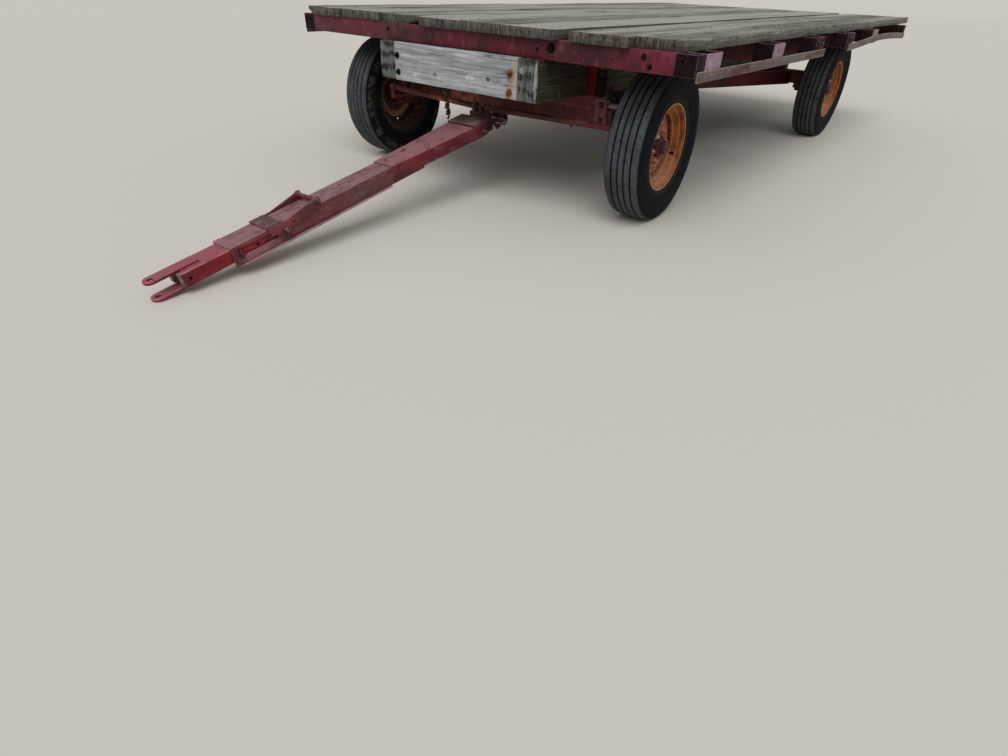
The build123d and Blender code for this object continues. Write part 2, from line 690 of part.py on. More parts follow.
# Latch yoke: two plates on the sleeve's flanks with a bridge in front and a cross pipe behind
with BuildPart() as latch_yoke:
    for side in SIDES.values():
        with BuildSketch(along(side * (sleeve_half + seat_gap + latch_wall / 2))):
            with BuildLine():
                front, rear = -latch_pin - latch_nose, -latch_rear + latch_heel
                bridge_top = sleeve_top + latch_wall
                Polyline((-latch_pin - latch_lobe, 0), (front, latch_lip), (front, bridge_top),
                         (-latch_pin + latch_lobe, bridge_top), (rear - latch_wall, latch_crown),
                         (rear, sleeve_top - latch_wall), (-latch_pin + latch_lobe, 0))
                ThreePointArc((-latch_pin + latch_lobe, 0), (-latch_pin, -latch_lobe), (-latch_pin - latch_lobe, 0))
            make_face()
        extrude(amount=latch_wall / 2, both=True)
    latch_half = sleeve_half + seat_gap + latch_wall
    along_tongue(latch_pin + 2, latch_pin + latch_nose, latch_half, sleeve_top + seat_gap, bridge_top)
    with Locations(Location((0, -latch_rear, latch_crown - latch_pipe_radius - 6), (0, 90, 0))):
        Cylinder(latch_pipe_radius, 2 * latch_half)
save(latch_yoke, "latch_yoke", tongue_frame)

# Sills and the board across their front
sill_y0, sill_y1 = front_axle_y - sill_front, front_axle_y + sill_rear
for hand, side in SIDES.items():
    with BuildPart() as sill:
        sill_x = side * (sill_inner + sill_width / 2)
        with Locations((sill_x, (sill_y0 + sill_y1) / 2, sill_bottom + sill_height / 2)):
            Box(sill_width, sill_y1 - sill_y0, sill_height)
    save(sill, f"sill_{hand}")
with BuildPart() as front_board:
    with Locations((0, sill_y0 + board_thickness / 2, sill_bottom + sill_height / 2)):
        Box(2 * sill_inner, board_thickness, sill_height)
save(front_board, "front_board")


# Rack frame: end channels with their backs outward
def make_end_channel(y_face, inward):
    with BuildPart() as channel:
        y_mid = y_face + inward * header_depth / 2
        with Locations((0, y_mid, frame_bottom + frame_height / 2)):
            Box(2 * header_half, header_depth, frame_height)
        with Locations((0, y_mid + inward * frame_wall, frame_bottom + frame_height / 2)):
            Box(2 * header_half, header_depth, frame_height - 2 * frame_wall, mode=Mode.SUBTRACT)
    return channel


header_y = front_axle_y - header_front
tail_y = front_axle_y + frame_rear
save(make_end_channel(header_y, 1), "header")
save(make_end_channel(tail_y, -1), "tail_channel")

cross_ys = [front_axle_y + station for station in cross_stations]
for number, y in enumerate(cross_ys, 1):
    with BuildPart() as cross:
        with Locations((0, y, frame_bottom + frame_height / 2)):
            Box(2 * header_half, cross_width, frame_height)
        with Locations((0, y, frame_bottom + (frame_height - frame_wall) / 2)):
            Box(2 * header_half, cross_width - 2 * frame_wall, frame_height - frame_wall, mode=Mode.SUBTRACT)
    save(cross, f"cross_channel_{number}")

# Stake pockets on the channel ends, and the corner pockets on the end channels
corner_width = cross_ys[0] - pocket_width / 2 - pocket_gap - header_y
pocket_rows = [(header_y + corner_width / 2, corner_width), (tail_y - header_depth / 2, header_depth)]
pocket_rows += [(y, pocket_width) for y in cross_ys]
for hand, side in SIDES.items():
    with BuildPart() as pockets:
        for y, width in pocket_rows:
            with BuildSketch(level(frame_bottom)):
                with Locations((side * (header_half + pocket_depth / 2), y)):
                    Rectangle(pocket_depth, width)
                    Rectangle(pocket_depth - 2 * pocket_wall, width - 2 * pocket_wall, mode=Mode.SUBTRACT)
            extrude(amount=frame_height)
    save(pockets, f"stake_pockets_{hand}")

# Rub rails: a flat strap in two lengths along each side
rail_x = frame_half - rail_thickness / 2
rail_z = frame_bottom - rail_drop + rail_height / 2
rail_lengths = {"front": (header_y + rail_thickness, cross_ys[2] + pocket_width / 2 + rail_past),
                "rear": (cross_ys[3] - rail_start, tail_y)}
for hand, side in SIDES.items():
    for place, (y0, y1) in rail_lengths.items():
        with BuildPart() as rail:
            with Locations((side * rail_x, (y0 + y1) / 2, rail_z)):
                Box(rail_thickness, y1 - y0, rail_height)
        save(rail, f"rub_rail_{place}_{hand}")

# Deck planks
with BuildPart() as deck:
    # the widths are fitted to the deck, the gaps are kept
    fit = (2 * deck_half - sum(row["gap"] for row in planks)) / sum(row["width"] for row in planks)
    x = -deck_half
    for row in planks:
        y0, y1 = header_y - row["front"], front_axle_y + deck_rear - row["rear"]
        width = row["width"] * fit
        with Locations((x + width / 2, (y0 + y1) / 2, frame_top + plank_thickness / 2)):
            Box(width, y1 - y0, plank_thickness)
        x += width + row["gap"]
save(deck, "deck_planks")
print("front axle y", round(front_axle_y, 3), "tongue pitch", round(degrees(tongue_pitch), 3))
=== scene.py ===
import json
import math
from contextlib import contextmanager

import bpy
from mathutils import Matrix, Vector

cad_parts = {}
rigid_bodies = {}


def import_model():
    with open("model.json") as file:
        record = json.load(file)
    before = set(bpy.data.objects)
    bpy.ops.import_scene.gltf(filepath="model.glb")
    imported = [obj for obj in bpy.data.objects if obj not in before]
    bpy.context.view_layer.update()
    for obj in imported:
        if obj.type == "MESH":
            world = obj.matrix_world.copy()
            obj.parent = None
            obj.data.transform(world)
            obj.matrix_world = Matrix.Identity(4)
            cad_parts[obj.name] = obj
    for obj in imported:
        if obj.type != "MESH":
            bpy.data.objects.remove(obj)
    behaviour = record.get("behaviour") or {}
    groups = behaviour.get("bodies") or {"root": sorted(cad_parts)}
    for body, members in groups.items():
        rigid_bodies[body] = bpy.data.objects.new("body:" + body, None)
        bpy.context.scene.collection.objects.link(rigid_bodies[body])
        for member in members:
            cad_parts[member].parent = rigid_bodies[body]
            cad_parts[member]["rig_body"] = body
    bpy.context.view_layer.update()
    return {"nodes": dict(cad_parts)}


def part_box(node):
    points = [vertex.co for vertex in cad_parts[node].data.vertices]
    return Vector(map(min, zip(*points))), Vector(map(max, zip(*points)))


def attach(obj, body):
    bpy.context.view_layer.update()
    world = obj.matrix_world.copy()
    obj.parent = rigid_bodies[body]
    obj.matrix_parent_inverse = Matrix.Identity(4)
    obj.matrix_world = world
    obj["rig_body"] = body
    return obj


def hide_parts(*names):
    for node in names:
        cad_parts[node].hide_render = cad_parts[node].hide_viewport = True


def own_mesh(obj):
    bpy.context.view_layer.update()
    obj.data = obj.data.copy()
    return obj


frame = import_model()
print("frame loaded")

# Camera: solved from the wheels, the header and the deck edge of the photograph
cameraView = {
    "lensPixels": 590.4,        # focal length in pixels of the image
    "imageWidth": 1008,
    "sensorWidth": 36,
    "pitch": 0.598,             # radians below level
    "roll": 0.0415,
    "yaw": 0.6676,              # to the wagon's right of its long axis
    "fromFrontAxle": (2.4983, -3.0874, 1.1092),
}
axleY = sum(corner.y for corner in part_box("front_axle")) / 2
hands = {"left": 1, "right": -1}


def addCamera(view):
    pitch, roll, yaw = view["pitch"], view["roll"], view["yaw"]
    forward = Vector((-math.sin(yaw) * math.cos(pitch), math.cos(yaw) * math.cos(pitch),
                      -math.sin(pitch)))
    level = Vector((math.cos(yaw), math.sin(yaw), 0))
    upright = level.cross(forward)
    right = math.cos(roll) * level + math.sin(roll) * upright
    up = math.cos(roll) * upright - math.sin(roll) * level
    bpy.ops.object.camera_add()
    camera = bpy.context.object
    x, y, z = view["fromFrontAxle"]
    place = Matrix((right, up, -forward)).transposed().to_4x4()
    place.translation = Vector((x, y + axleY, z))
    camera.matrix_world = place
    camera.data.sensor_width = view["sensorWidth"]
    camera.data.lens = view["sensorWidth"] * view["lensPixels"] / view["imageWidth"]
    camera.data.clip_end = 100
    bpy.context.scene.camera = camera


addCamera(cameraView)
bpy.context.scene.view_settings.view_transform = "Standard"


# Colours are written as they are read off a screen, 0 to 255, and made linear for the shader
def tint(colour):
    return tuple(((c / 255 + 0.055) / 1.055) ** 2.4 if c > 10 else c / 3295 for c in colour) + (1,)


# One socket of a material; sums on it add Math nodes
class Signal:
    def __init__(self, finish, socket):
        self.finish = finish
        self.socket = socket

    def sum(self, operation, *terms):
        return self.finish.node("ShaderNodeMath", {"operation": operation}, dict(enumerate(terms)))

    def __add__(self, other):
        return self.sum("ADD", self, other)

    def __sub__(self, other):
        return self.sum("SUBTRACT", self, other)

    def __rsub__(self, other):
        return self.sum("SUBTRACT", other, self)

    def __mul__(self, other):
        return self.sum("MULTIPLY", self, other)

    def __truediv__(self, other):
        return self.sum("DIVIDE", self, other)

    def __pow__(self, other):
        return self.sum("POWER", self, other)

    def __abs__(self):
        return self.sum("ABSOLUTE", self)

    __radd__ = __add__
    __rmul__ = __mul__


# A tree of nodes in the making
class NodeTable:
    def __init__(self, tree):
        self.tree = tree

    def node(self, kind, settings={}, sockets={}, output=0):
        made = self.tree.nodes.new(kind)
        for key, value in settings.items():
            setattr(made, key, value)
        for key, value in sockets.items():
            self.put(made.inputs[key], value)
        return Signal(self, made.outputs[output])

    def put(self, socket, value):
        if isinstance(value, Signal):
            self.tree.links.new(value.socket, socket)
        elif socket.type == "RGBA" and len(value) == 3:
            socket.default_value = tint(value)
        else:
            socket.default_value = value

    def mix(self, factor, first, second):
        return self.node("ShaderNodeMix", {"data_type": "RGBA"}, {0: factor, 6: first, 7: second}, output=2)


# A material, with the few textures that the wagon's finishes share
class Finish(NodeTable):
    def __init__(self, name, colour=None):
        self.colour = colour
        self.material = bpy.data.materials.new(name)
        self.material.use_nodes = True
        super().__init__(self.material.node_tree)
        self.shader = self.tree.nodes["Principled BSDF"]
        self.place = self.node("ShaderNodeTexCoord", output="Object")
        self.x, self.y, self.z = self.parted(self.place)
        self.faceX, self.faceY, self.faceZ = self.parted(self.node("ShaderNodeTexCoord", output="Normal"))

    def parted(self, vector):
        return [self.node("ShaderNodeSeparateXYZ", {}, {0: vector}, output=axis) for axis in range(3)]

    def attribute(self, name):
        return self.node("ShaderNodeAttribute", {"attribute_name": name}, output="Fac")

    def noise(self, scale, stretch=(1, 1, 1), detail=4, rough=0.5, shift=0.0, bend=0.0):
        moved = (shift, shift * 0.7, shift * 1.3)
        spot = self.node("ShaderNodeMapping", {}, {0: self.place, 1: moved, 3: stretch})
        return self.node("ShaderNodeTexNoise", {}, {"Vector": spot, "Scale": scale, "Detail": detail,
                                                    "Roughness": rough, "Distortion": bend})

    def step(self, value, low, high):
        soft = {"interpolation_type": "SMOOTHSTEP"}
        return self.node("ShaderNodeMapRange", soft, {0: value, 1: low, 2: high})

    # a soft round or oval spot about a point, 1 in its middle; a radius of 0 doesn't limit it
    def spot(self, centre, radii):
        spread = 0
        for signal, at, radius in zip((self.x, self.y, self.z), centre, radii):
            if radius:
                spread = ((signal - at) / radius) ** 2 + spread
        return self.step(spread, 1.0, 0.35)

    # lays another colour over the finish's own, as far as the factor says
    def lay(self, factor, shade):
        self.colour = self.mix(factor, self.colour, shade)

    def done(self, rough, height=None, strength=0.4, depth=0.002, gloss=0.5):
        bump = {"Height": height, "Strength": strength, "Distance": depth}
        self.put(self.shader.inputs["Base Color"], self.colour)
        self.put(self.shader.inputs["Roughness"], rough)
        self.put(self.shader.inputs["Specular IOR Level"], gloss)
        if height is not None:
            self.put(self.shader.inputs["Normal"], self.node("ShaderNodeBump", {}, bump))
        return self.material


# Painted steel: two tones of paint, a chalky fade that is stronger on top, rust patches, chips and dust
def paintedSteel(name, look):
    f = Finish(name)
    shift, stretch = look["shift"], look["stretch"]
    f.colour = f.mix(f.step(f.noise(4, detail=3, shift=shift), 0.38, 0.62), look["paint"], look["deep"])
    cloud = f.noise(11, stretch, 7, 0.62, shift + 3)
    top = f.step(f.faceZ, 0.25, 0.9)
    chalked = look["fade"] * 0.3
    fade = f.step(cloud + top * look["topFade"], 0.66 - chalked, 0.86 - chalked)
    f.lay(fade * 0.85, look["faded"])
    mottle = f.noise(20, stretch, 9, 0.78, shift + 2)
    f.lay(f.step(mottle, 0.51, 0.6) * look["mottle"], look["deep"])
    f.lay(f.step(mottle, 0.47, 0.38) * look["mottle"] * 0.8, look["faded"])
    grain = f.noise(95, detail=5, rough=0.7, shift=shift + 8)
    patch = f.noise(7, stretch, 9, 0.66, shift + 5)
    eaten = look["rust"] * 0.25
    rust = f.step(patch + (grain - 0.5) * 0.22, 0.7 - eaten, 0.73 - eaten)
    rustTone = f.mix(f.step(grain, 0.35, 0.7), look["rustDark"], look["rustLight"])
    f.lay(rust * 0.9, rustTone)
    chips = f.step(f.noise(48, detail=2, shift=shift + 11), 0.66, 0.7)
    f.lay(chips * look["chips"], look["bare"])
    along = tuple(0.12 if share < 1 else 1 for share in stretch)
    scrape = f.step(f.noise(62, along, 4, 0.65, shift + 13), 0.6, 0.7)
    f.lay(scrape * look["scrapes"], look["faded"])
    dust = f.step(f.noise(2.3, detail=5, shift=shift + 17), 0.45, 0.75) * 0.3 + f.step(grain, 0.5, 0.8) * 0.12
    f.lay(dust, look["dust"])
    for at, size, strength, shade in look["marks"]:
        ragged = f.step(f.noise(28, detail=7, rough=0.7, shift=shift + 19), 0.36, 0.52)
        f.lay(f.spot(at, size) * ragged * strength, shade)
    height = grain * 0.25 - rust * 0.5 - chips * 0.6 + cloud * 0.4 + mottle * 0.3
    rough = 0.58 + rust * 0.3 + fade * 0.08 - grain * 0.06
    return f.done(rough, height, look["bump"], gloss=look["gloss"])


# Paints: each starts from the maroon and says what differs; a mark is place, radii, strength, colour
headerY, gearY = axleY - 0.44, axleY - 0.045
even, lengthways = (1, 1, 1), (1, 0.4, 1)
rustyDark = (50, 24, 17)
maroon = {
    "paint": (102, 19, 37), "deep": (64, 13, 26), "faded": (112, 54, 64), "bare": (34, 17, 21),
    "dust": (104, 58, 62), "rustDark": (42, 14, 20), "rustLight": (74, 28, 30), "rust": 0.25, "fade": 0.2,
    "topFade": 0.15, "mottle": 0.3, "chips": 0.5, "scrapes": 0.3, "stretch": (1, 1, 0.4), "shift": 0.0,
    "bump": 0.45, "gloss": 0.35, "marks": [],
}
looks = {
    "headerPaint": dict(
        deep=(58, 11, 23), faded=(122, 60, 72), mottle=0.7, scrapes=0.45, marks=[
            ((-0.407, headerY, 0.819), (0.04, 0, 0.03), 0.7, (36, 14, 18)),
            ((-0.56, headerY, 0.822), (0.034, 0, 0.045), 0.6, (44, 16, 20)),
            ((0.615, headerY, 0.81), (0.045, 0, 0.04), 0.7, (40, 16, 20))]),
    "headerEdge": dict(fade=0.6, faded=(126, 66, 76), rust=0.4, shift=2.0),
    "tonguePaint": dict(
        paint=(124, 34, 42), deep=(78, 22, 30), faded=(136, 96, 98), fade=0.22, topFade=0.42, rust=0.35,
        rustDark=(58, 28, 28), rustLight=(104, 62, 52), dust=(132, 102, 98), mottle=0.55, scrapes=0.6,
        chips=0.7, stretch=lengthways, shift=4.0, marks=[
            ((-0.056, -1.662, 0.36), (0.035, 0.055, 0), 0.8, (98, 94, 88)),
            ((0.03, -1.56, 0.36), (0.06, 0.03, 0), 0.5, (104, 60, 48))]),
    "tongueEdge": dict(
        paint=(132, 58, 64), faded=(168, 124, 124), fade=0.6, rust=0.5, rustDark=(64, 30, 32),
        stretch=lengthways, shift=5.0),
    "sleevePaint": dict(
        paint=(112, 48, 52), deep=(74, 32, 36), faded=(136, 102, 104), fade=0.25, topFade=0.45, rust=0.45,
        rustDark=(56, 34, 34), rustLight=(104, 72, 62), dust=(138, 112, 108), mottle=0.6, scrapes=0.6,
        chips=0.7, stretch=lengthways, shift=4.5),
    "latchPaint": dict(
        paint=(128, 52, 54), deep=(84, 36, 38), faded=(146, 96, 94), topFade=0.1, rust=0.4,
        rustDark=(54, 30, 30), rustLight=(112, 66, 54), mottle=0.5, scrapes=0.4, chips=0.7,
        stretch=lengthways, shift=5.5),
    "bridgeSteel": dict(
        paint=(92, 64, 66), deep=(62, 42, 44), faded=(134, 108, 108), fade=0.4, topFade=0.1, rust=0.5,
        rustDark=(50, 34, 32), rustLight=(98, 70, 60), mottle=0.6, scrapes=0.6, stretch=lengthways,
        shift=5.8),
    "barPaint": dict(
        paint=(140, 14, 28), deep=(98, 10, 20), faded=(148, 84, 92), fade=0.14, topFade=0.5, rust=0.15,
        mottle=0.35, scrapes=0.45, stretch=(1, 0.5, 1), shift=6.0),
    "barEdge": dict(paint=(146, 50, 62), faded=(184, 128, 134), fade=0.7, shift=7.0),
    "throatSteel": dict(
        paint=(104, 94, 82), deep=(70, 62, 54), faded=(140, 132, 118), fade=0.5, rust=0.5,
        rustDark=(50, 40, 34), rustLight=(104, 84, 68), dust=(128, 122, 108), mottle=0.6, stretch=even,
        shift=8.0),
    "reachPaint": dict(
        paint=(96, 20, 34), deep=(62, 15, 24), faded=(104, 52, 58), fade=0.25, rust=0.4, stretch=lengthways,
        shift=11.0),
    "gearPaint": dict(
        paint=(92, 28, 30), deep=(56, 17, 18), faded=(112, 68, 62), fade=0.3, rust=0.6, rustDark=rustyDark,
        rustLight=(106, 58, 32), dust=(104, 80, 70), mottle=0.5, stretch=even, shift=9.0, marks=[
            ((-0.315, gearY, 0.47), (0.15, 0, 0.06), 0.9, (150, 86, 44)),
            ((0.18, gearY, 0.47), (0.1, 0, 0.05), 0.6, (46, 24, 18))]),
    "gearEdge": dict(
        paint=(108, 52, 48), faded=(140, 98, 88), fade=0.6, rust=0.65, rustDark=rustyDark,
        rustLight=(98, 54, 30), shift=10.0),
    "rackSteel": dict(
        paint=(76, 16, 28), deep=(46, 13, 21), faded=(86, 44, 48), fade=0.25, rust=0.55, shift=12.0),
    "rackEdge": dict(paint=(92, 40, 44), faded=(122, 80, 80), fade=0.6, rust=0.5, shift=13.0),
    "pocketSteel": dict(
        paint=(30, 15, 17), deep=(18, 11, 12), faded=(52, 36, 37), rust=0.6, rustDark=(17, 12, 12),
        rustLight=(44, 26, 24), dust=(44, 31, 31), gloss=0.08, stretch=even, shift=14.0),
    "pocketEdge": dict(paint=(78, 58, 66), faded=(112, 92, 102), fade=0.5, rust=0.6, shift=14.5),
    "lilacPaint": dict(
        paint=(142, 118, 134), deep=(112, 88, 104), faded=(170, 150, 164), fade=0.45, topFade=0.1,
        rust=0.45, rustDark=(58, 32, 32), rustLight=(92, 54, 46), bare=(72, 42, 48), dust=(124, 108, 110),
        mottle=0.5, stretch=even, shift=15.0),
    "lilacEdge": dict(paint=(156, 136, 148), faded=(180, 164, 170), fade=0.8, rust=0.5, shift=16.0),
    "railPaint": dict(
        paint=(102, 84, 82), deep=(78, 60, 60), faded=(136, 118, 116), fade=0.4, topFade=0.3, rust=0.5,
        rustDark=(58, 38, 34), rustLight=(106, 78, 62), dust=(116, 102, 98), mottle=0.5,
        stretch=(1, 0.3, 1), shift=18.0),
    "railEdge": dict(paint=(140, 124, 120), faded=(168, 154, 148), fade=0.7, rust=0.4, shift=19.0),
    "boltSteel": dict(
        paint=(74, 46, 42), deep=(42, 27, 26), faded=(124, 96, 90), fade=0.35, topFade=0.3, rust=0.6,
        stretch=even, shift=21.0),
    "screwSteel": dict(
        paint=(84, 66, 54), deep=(52, 42, 36), faded=(112, 98, 86), rust=0.6, rustLight=(96, 62, 42),
        dust=(104, 96, 84), stretch=even, shift=22.0),
    # black steel; the same finish is also used as painted shade in the bores and under the cover lips
    "blackPlateAndShade": dict(
        paint=(24, 22, 23), deep=(14, 14, 15), faded=(50, 45, 44), fade=0.3, rust=0.3,
        rustDark=(22, 17, 15), rustLight=(46, 31, 26), bare=(70, 65, 62), dust=(56, 50, 46), gloss=0.08,
        shift=23.0),
    "rustBolt": dict(
        paint=(128, 66, 42), deep=(80, 40, 27), faded=(180, 116, 82), fade=0.4, topFade=0.3, rust=0.7,
        rustDark=(64, 32, 23), rustLight=(160, 90, 54), stretch=even, shift=29.0),
    "tongueBolt": dict(
        paint=(100, 48, 48), deep=(62, 32, 31), faded=(160, 124, 118), fade=0.4, topFade=0.3, rust=0.6,
        rustDark=(48, 33, 28), rustLight=(104, 74, 58), stretch=even, shift=30.0),
    "lipPaint": dict(
        paint=(140, 92, 94), deep=(108, 66, 68), faded=(164, 134, 130), fade=0.5, topFade=0.3, rust=0.5,
        rustDark=(76, 54, 50), rustLight=(120, 92, 80), dust=(142, 128, 118), mottle=0.5,
        stretch=lengthways, shift=31.0),
    "stakePaint": dict(
        paint=(118, 16, 19), deep=(80, 12, 14), faded=(104, 42, 38), dust=(84, 36, 32), gloss=0.15,
        shift=34.0),
    "mauvePlate": dict(
        paint=(158, 84, 92), deep=(120, 56, 64), faded=(182, 128, 134), fade=0.35, rust=0.4,
        rustDark=(50, 24, 26), rustLight=(88, 46, 40), mottle=0.5, stretch=even, shift=32.0),
    "chainIron": dict(
        paint=(46, 28, 24), deep=(28, 19, 17), faded=(84, 56, 46), fade=0.3, rust=0.7,
        rustDark=(28, 19, 16), rustLight=(84, 48, 32), stretch=even, shift=33.0),
    "hubIron": dict(
        paint=(70, 22, 25), deep=(38, 14, 17), faded=(132, 76, 68), fade=0.3, rust=0.5,
        rustDark=(30, 15, 14), rustLight=(108, 54, 32), dust=(98, 66, 56), mottle=0.6, stretch=even,
        shift=25.0),
    # the nuts' pale tones are partly paint and partly painted highlights
    "nutPaintAndHighlight": dict(
        paint=(178, 112, 92), deep=(92, 46, 38), faded=(238, 196, 174), fade=0.75, topFade=0.3, rust=0.5,
        mottle=0.6, stretch=even, shift=27.0),
}
steels = {name: paintedSteel(name, {**maroon, **look}) for name, look in looks.items()}


# Weathered timber: fine grain lines, open cracks, silvered ridges, sides darkened by grime and painted shade,
# end grain in streaks
def weatheredWood(name, look):
    f = Finish(name)
    shift = look["shift"]
    along = look["along"]      # 0 for a board across the wagon, 1 for timber along it
    fine = tuple(0.035 if axis == along else 1 for axis in range(3))
    broad = tuple(0.08 if axis == along else 1 for axis in range(3))
    tone = f.step(f.noise(5, broad, 5, 0.6, shift) + (f.attribute("boardTone") - 0.5) * 0.35, 0.3, 0.7)
    f.colour = f.mix(tone, look["dark"], look["light"])
    lines = f.noise(look["grain"], fine, 6, 0.72, shift + 2, 0.2)
    f.lay(f.step(lines, 0.51, 0.68) * 0.75, look["silver"])
    f.lay(f.step(lines, 0.48, 0.36) * 0.7, look["groove"])
    crackField = f.noise(16, fine, 4, 0.55, shift + 6, 0.35)
    cracked = f.step(f.noise(3, detail=2, shift=shift + 9), 0.48, 0.6)
    crack = f.step(abs(crackField - 0.5), 0.014, 0.004) * cracked
    f.lay(crack * 0.9, look["crack"])
    stain = f.step(f.noise(3.5, (1, 0.5, 1), 7, 0.65, shift + 12), 0.55, 0.72)
    f.lay(stain * look["stainAmount"], look["stain"])
    upward = f.step(f.faceZ, 0.5, 0.9)
    f.lay(upward * f.step(tone, 0.2, 0.8) * look["bleached"], look["silver"])
    moss = (1 - upward) * f.step(f.noise(18, (1, 1, 0.4), 7, 0.7, shift + 14), 0.46, 0.62)
    f.lay(moss * look["mossy"], look["moss"])
    lichen = f.step(f.noise(34, detail=3, shift=shift + 15), 0.67, 0.72)
    f.lay(lichen * look["lichen"], (196, 200, 188))
    # the boards' sides, inboard of the outermost, are darkened by grime and painted shade in the gaps between
    # them; the sills' sides a little, as painted shade under the deck
    facing, flank = (f.faceX, f.faceY)[along], (f.faceY, f.faceX)[along]
    sides = f.step(abs(flank), 0.6, 0.85) * f.step(abs(f.x), look["sidesWithin"] + 0.004, look["sidesWithin"])
    f.lay(sides * look["sideShadeAndDirt"], look["crack"])
    # sawn ends: upright fibres that split and silver, with faint layers
    ends = f.step(abs(facing), 0.55, 0.8)
    layers = f.node("ShaderNodeTexWave", {"bands_direction": "Z"}, {
        "Vector": f.node("ShaderNodeMapping", {}, {0: f.place, 3: look["rings"]}),
        "Scale": look["ringScale"], "Distortion": 5.5, "Detail": 3, "Detail Scale": 1.2}, output="Fac")
    fibres = f.noise(104, (1, 1, 0.12), 8, 0.78, shift + 22)
    blotch = f.noise(38, (1, 1, 0.22), 9, 0.8, shift + 20)
    share = look["ringShare"]
    sawn = f.mix(f.step(layers * share + fibres * (1 - share), 0.4, 0.55), look["endDark"], look["endLight"])
    sawn = f.mix(f.step(blotch, 0.52, 0.66) * 0.5, sawn, look["endPale"])
    sawn = f.mix(f.step(blotch, 0.46, 0.36) * 0.5, sawn, look["endDark"])
    split = f.step(abs(f.noise(13, (1, 1, 0.1), 3, 0.5, shift + 25) - 0.5), 0.007, 0.002)
    sawn = f.mix(split * 0.8, sawn, look["crack"])
    f.lay(ends, sawn)
    for at, size, strength, shade in look["marks"]:
        worn = f.step(f.noise(60, (1, 1, 0.25), 4, 0.6, shift + 30), 0.3, 0.6)
        f.lay(f.spot(at, size) * worn * strength, shade)
    height = lines * 0.5 - crack * 1.2 + f.noise(30, broad, 5, 0.6, shift + 4) * 0.5
    height = height + ends * (fibres * 0.7 + blotch * 0.5 - split)
    return f.done(0.86 - lines * 0.1, height, look["bump"], 0.003, look["gloss"])


boardY = axleY - 0.49
woods = {
    "deckTimber": {
        "along": 1, "shift": 1.0, "grain": 110, "bump": 0.8, "gloss": 0.35, "dark": (92, 92, 84),
        "light": (136, 136, 128), "silver": (178, 178, 172), "groove": (56, 56, 50), "crack": (24, 24, 22),
        "bleached": 0.35, "stain": (88, 82, 66), "stainAmount": 0.45, "moss": (78, 80, 62), "mossy": 0.55,
        "lichen": 0.4, "sidesWithin": 1.268, "sideShadeAndDirt": 0.6, "rings": (0.3, 0.16, 1), "ringScale": 12,
        "ringShare": 0.03, "endDark": (28, 28, 24), "endLight": (90, 88, 80), "endPale": (144, 141, 130),
        "marks": [
            ((0, 0, 0.866), (0, 0, 0.022), 0.55, (44, 43, 37))]},
    "sillTimber": {
        # the sill's tones are kept dark as painted shade, standing for the deep shade under the deck
        "along": 1, "shift": 4.0, "grain": 110, "bump": 0.8, "gloss": 0.15, "dark": (46, 43, 31),
        "light": (70, 67, 50), "silver": (102, 99, 84), "groove": (30, 27, 20), "crack": (16, 16, 14),
        "bleached": 0.2, "stain": (64, 52, 34), "stainAmount": 0.5, "moss": (66, 68, 46), "mossy": 0.5,
        "lichen": 0.25, "sidesWithin": 2.0, "sideShadeAndDirt": 0.15, "rings": (0.6, 0.6, 0.5), "ringScale": 9,
        "ringShare": 0.15, "endDark": (36, 38, 36), "endLight": (104, 107, 105), "endPale": (146, 150, 149),
        "marks": [
            ((0.571, boardY, 0.677), (0.012, 0.02, 0.1), 0.9, (158, 166, 166)),
            ((0.515, boardY, 0.64), (0.034, 0.02, 0.09), 0.5, (40, 44, 40)),
            ((0.478, boardY, 0.72), (0.016, 0.02, 0.016), 0.9, (150, 152, 146)),
            ((0.581, boardY + 0.045, 0.624), (0, 0.03, 0.006), 0.9, (16, 14, 12))]},
    "boardTimber": {
        "along": 0, "shift": 7.0, "grain": 105, "bump": 0.6, "gloss": 0.5, "dark": (134, 139, 141),
        "light": (166, 171, 174), "silver": (214, 219, 222), "groove": (98, 103, 106),
        "crack": (52, 50, 48), "bleached": 0.2, "stain": (130, 128, 116), "stainAmount": 0.3,
        "moss": (122, 124, 116), "mossy": 0.2, "lichen": 0.1, "sidesWithin": 2.0, "sideShadeAndDirt": 0.0,
        "rings": (0.6, 0.6, 0.5), "ringScale": 14, "ringShare": 0.15, "endDark": (80, 80, 74),
        "endLight": (122, 122, 114), "endPale": (150, 150, 142),
        "marks": [
            ((0.43, boardY, 0.665), (0.03, 0, 0.115), 0.7, (176, 156, 128)),      # bleed round the bolts
            ((0.41, boardY, 0.692), (0.034, 0, 0.042), 0.9, (146, 82, 48)),
            ((0.412, boardY, 0.65), (0.016, 0, 0.045), 0.7, (168, 118, 84)),
            ((0.405, boardY, 0.606), (0.028, 0, 0.032), 0.9, (146, 82, 48)),
            ((0.262, boardY, 0.66), (0.019, 0, 0.014), 1.0, (52, 46, 42)),         # knots
            ((0.31, boardY, 0.664), (0.06, 0, 0.022), 0.45, (92, 92, 90)),
            ((-0.129, boardY, 0.637), (0.018, 0, 0.018), 0.9, (70, 64, 58)),
            ((0.06, boardY, 0.668), (0.06, 0, 0.016), 0.4, (112, 112, 104)),
            ((0.13, boardY, 0.652), (0.034, 0, 0.018), 0.7, (206, 208, 204)),      # bare spots
            ((-0.29, boardY, 0.622), (0.028, 0, 0.012), 0.7, (206, 208, 204))]},
}
timbers = {name: weatheredWood(name, look) for name, look in woods.items()}


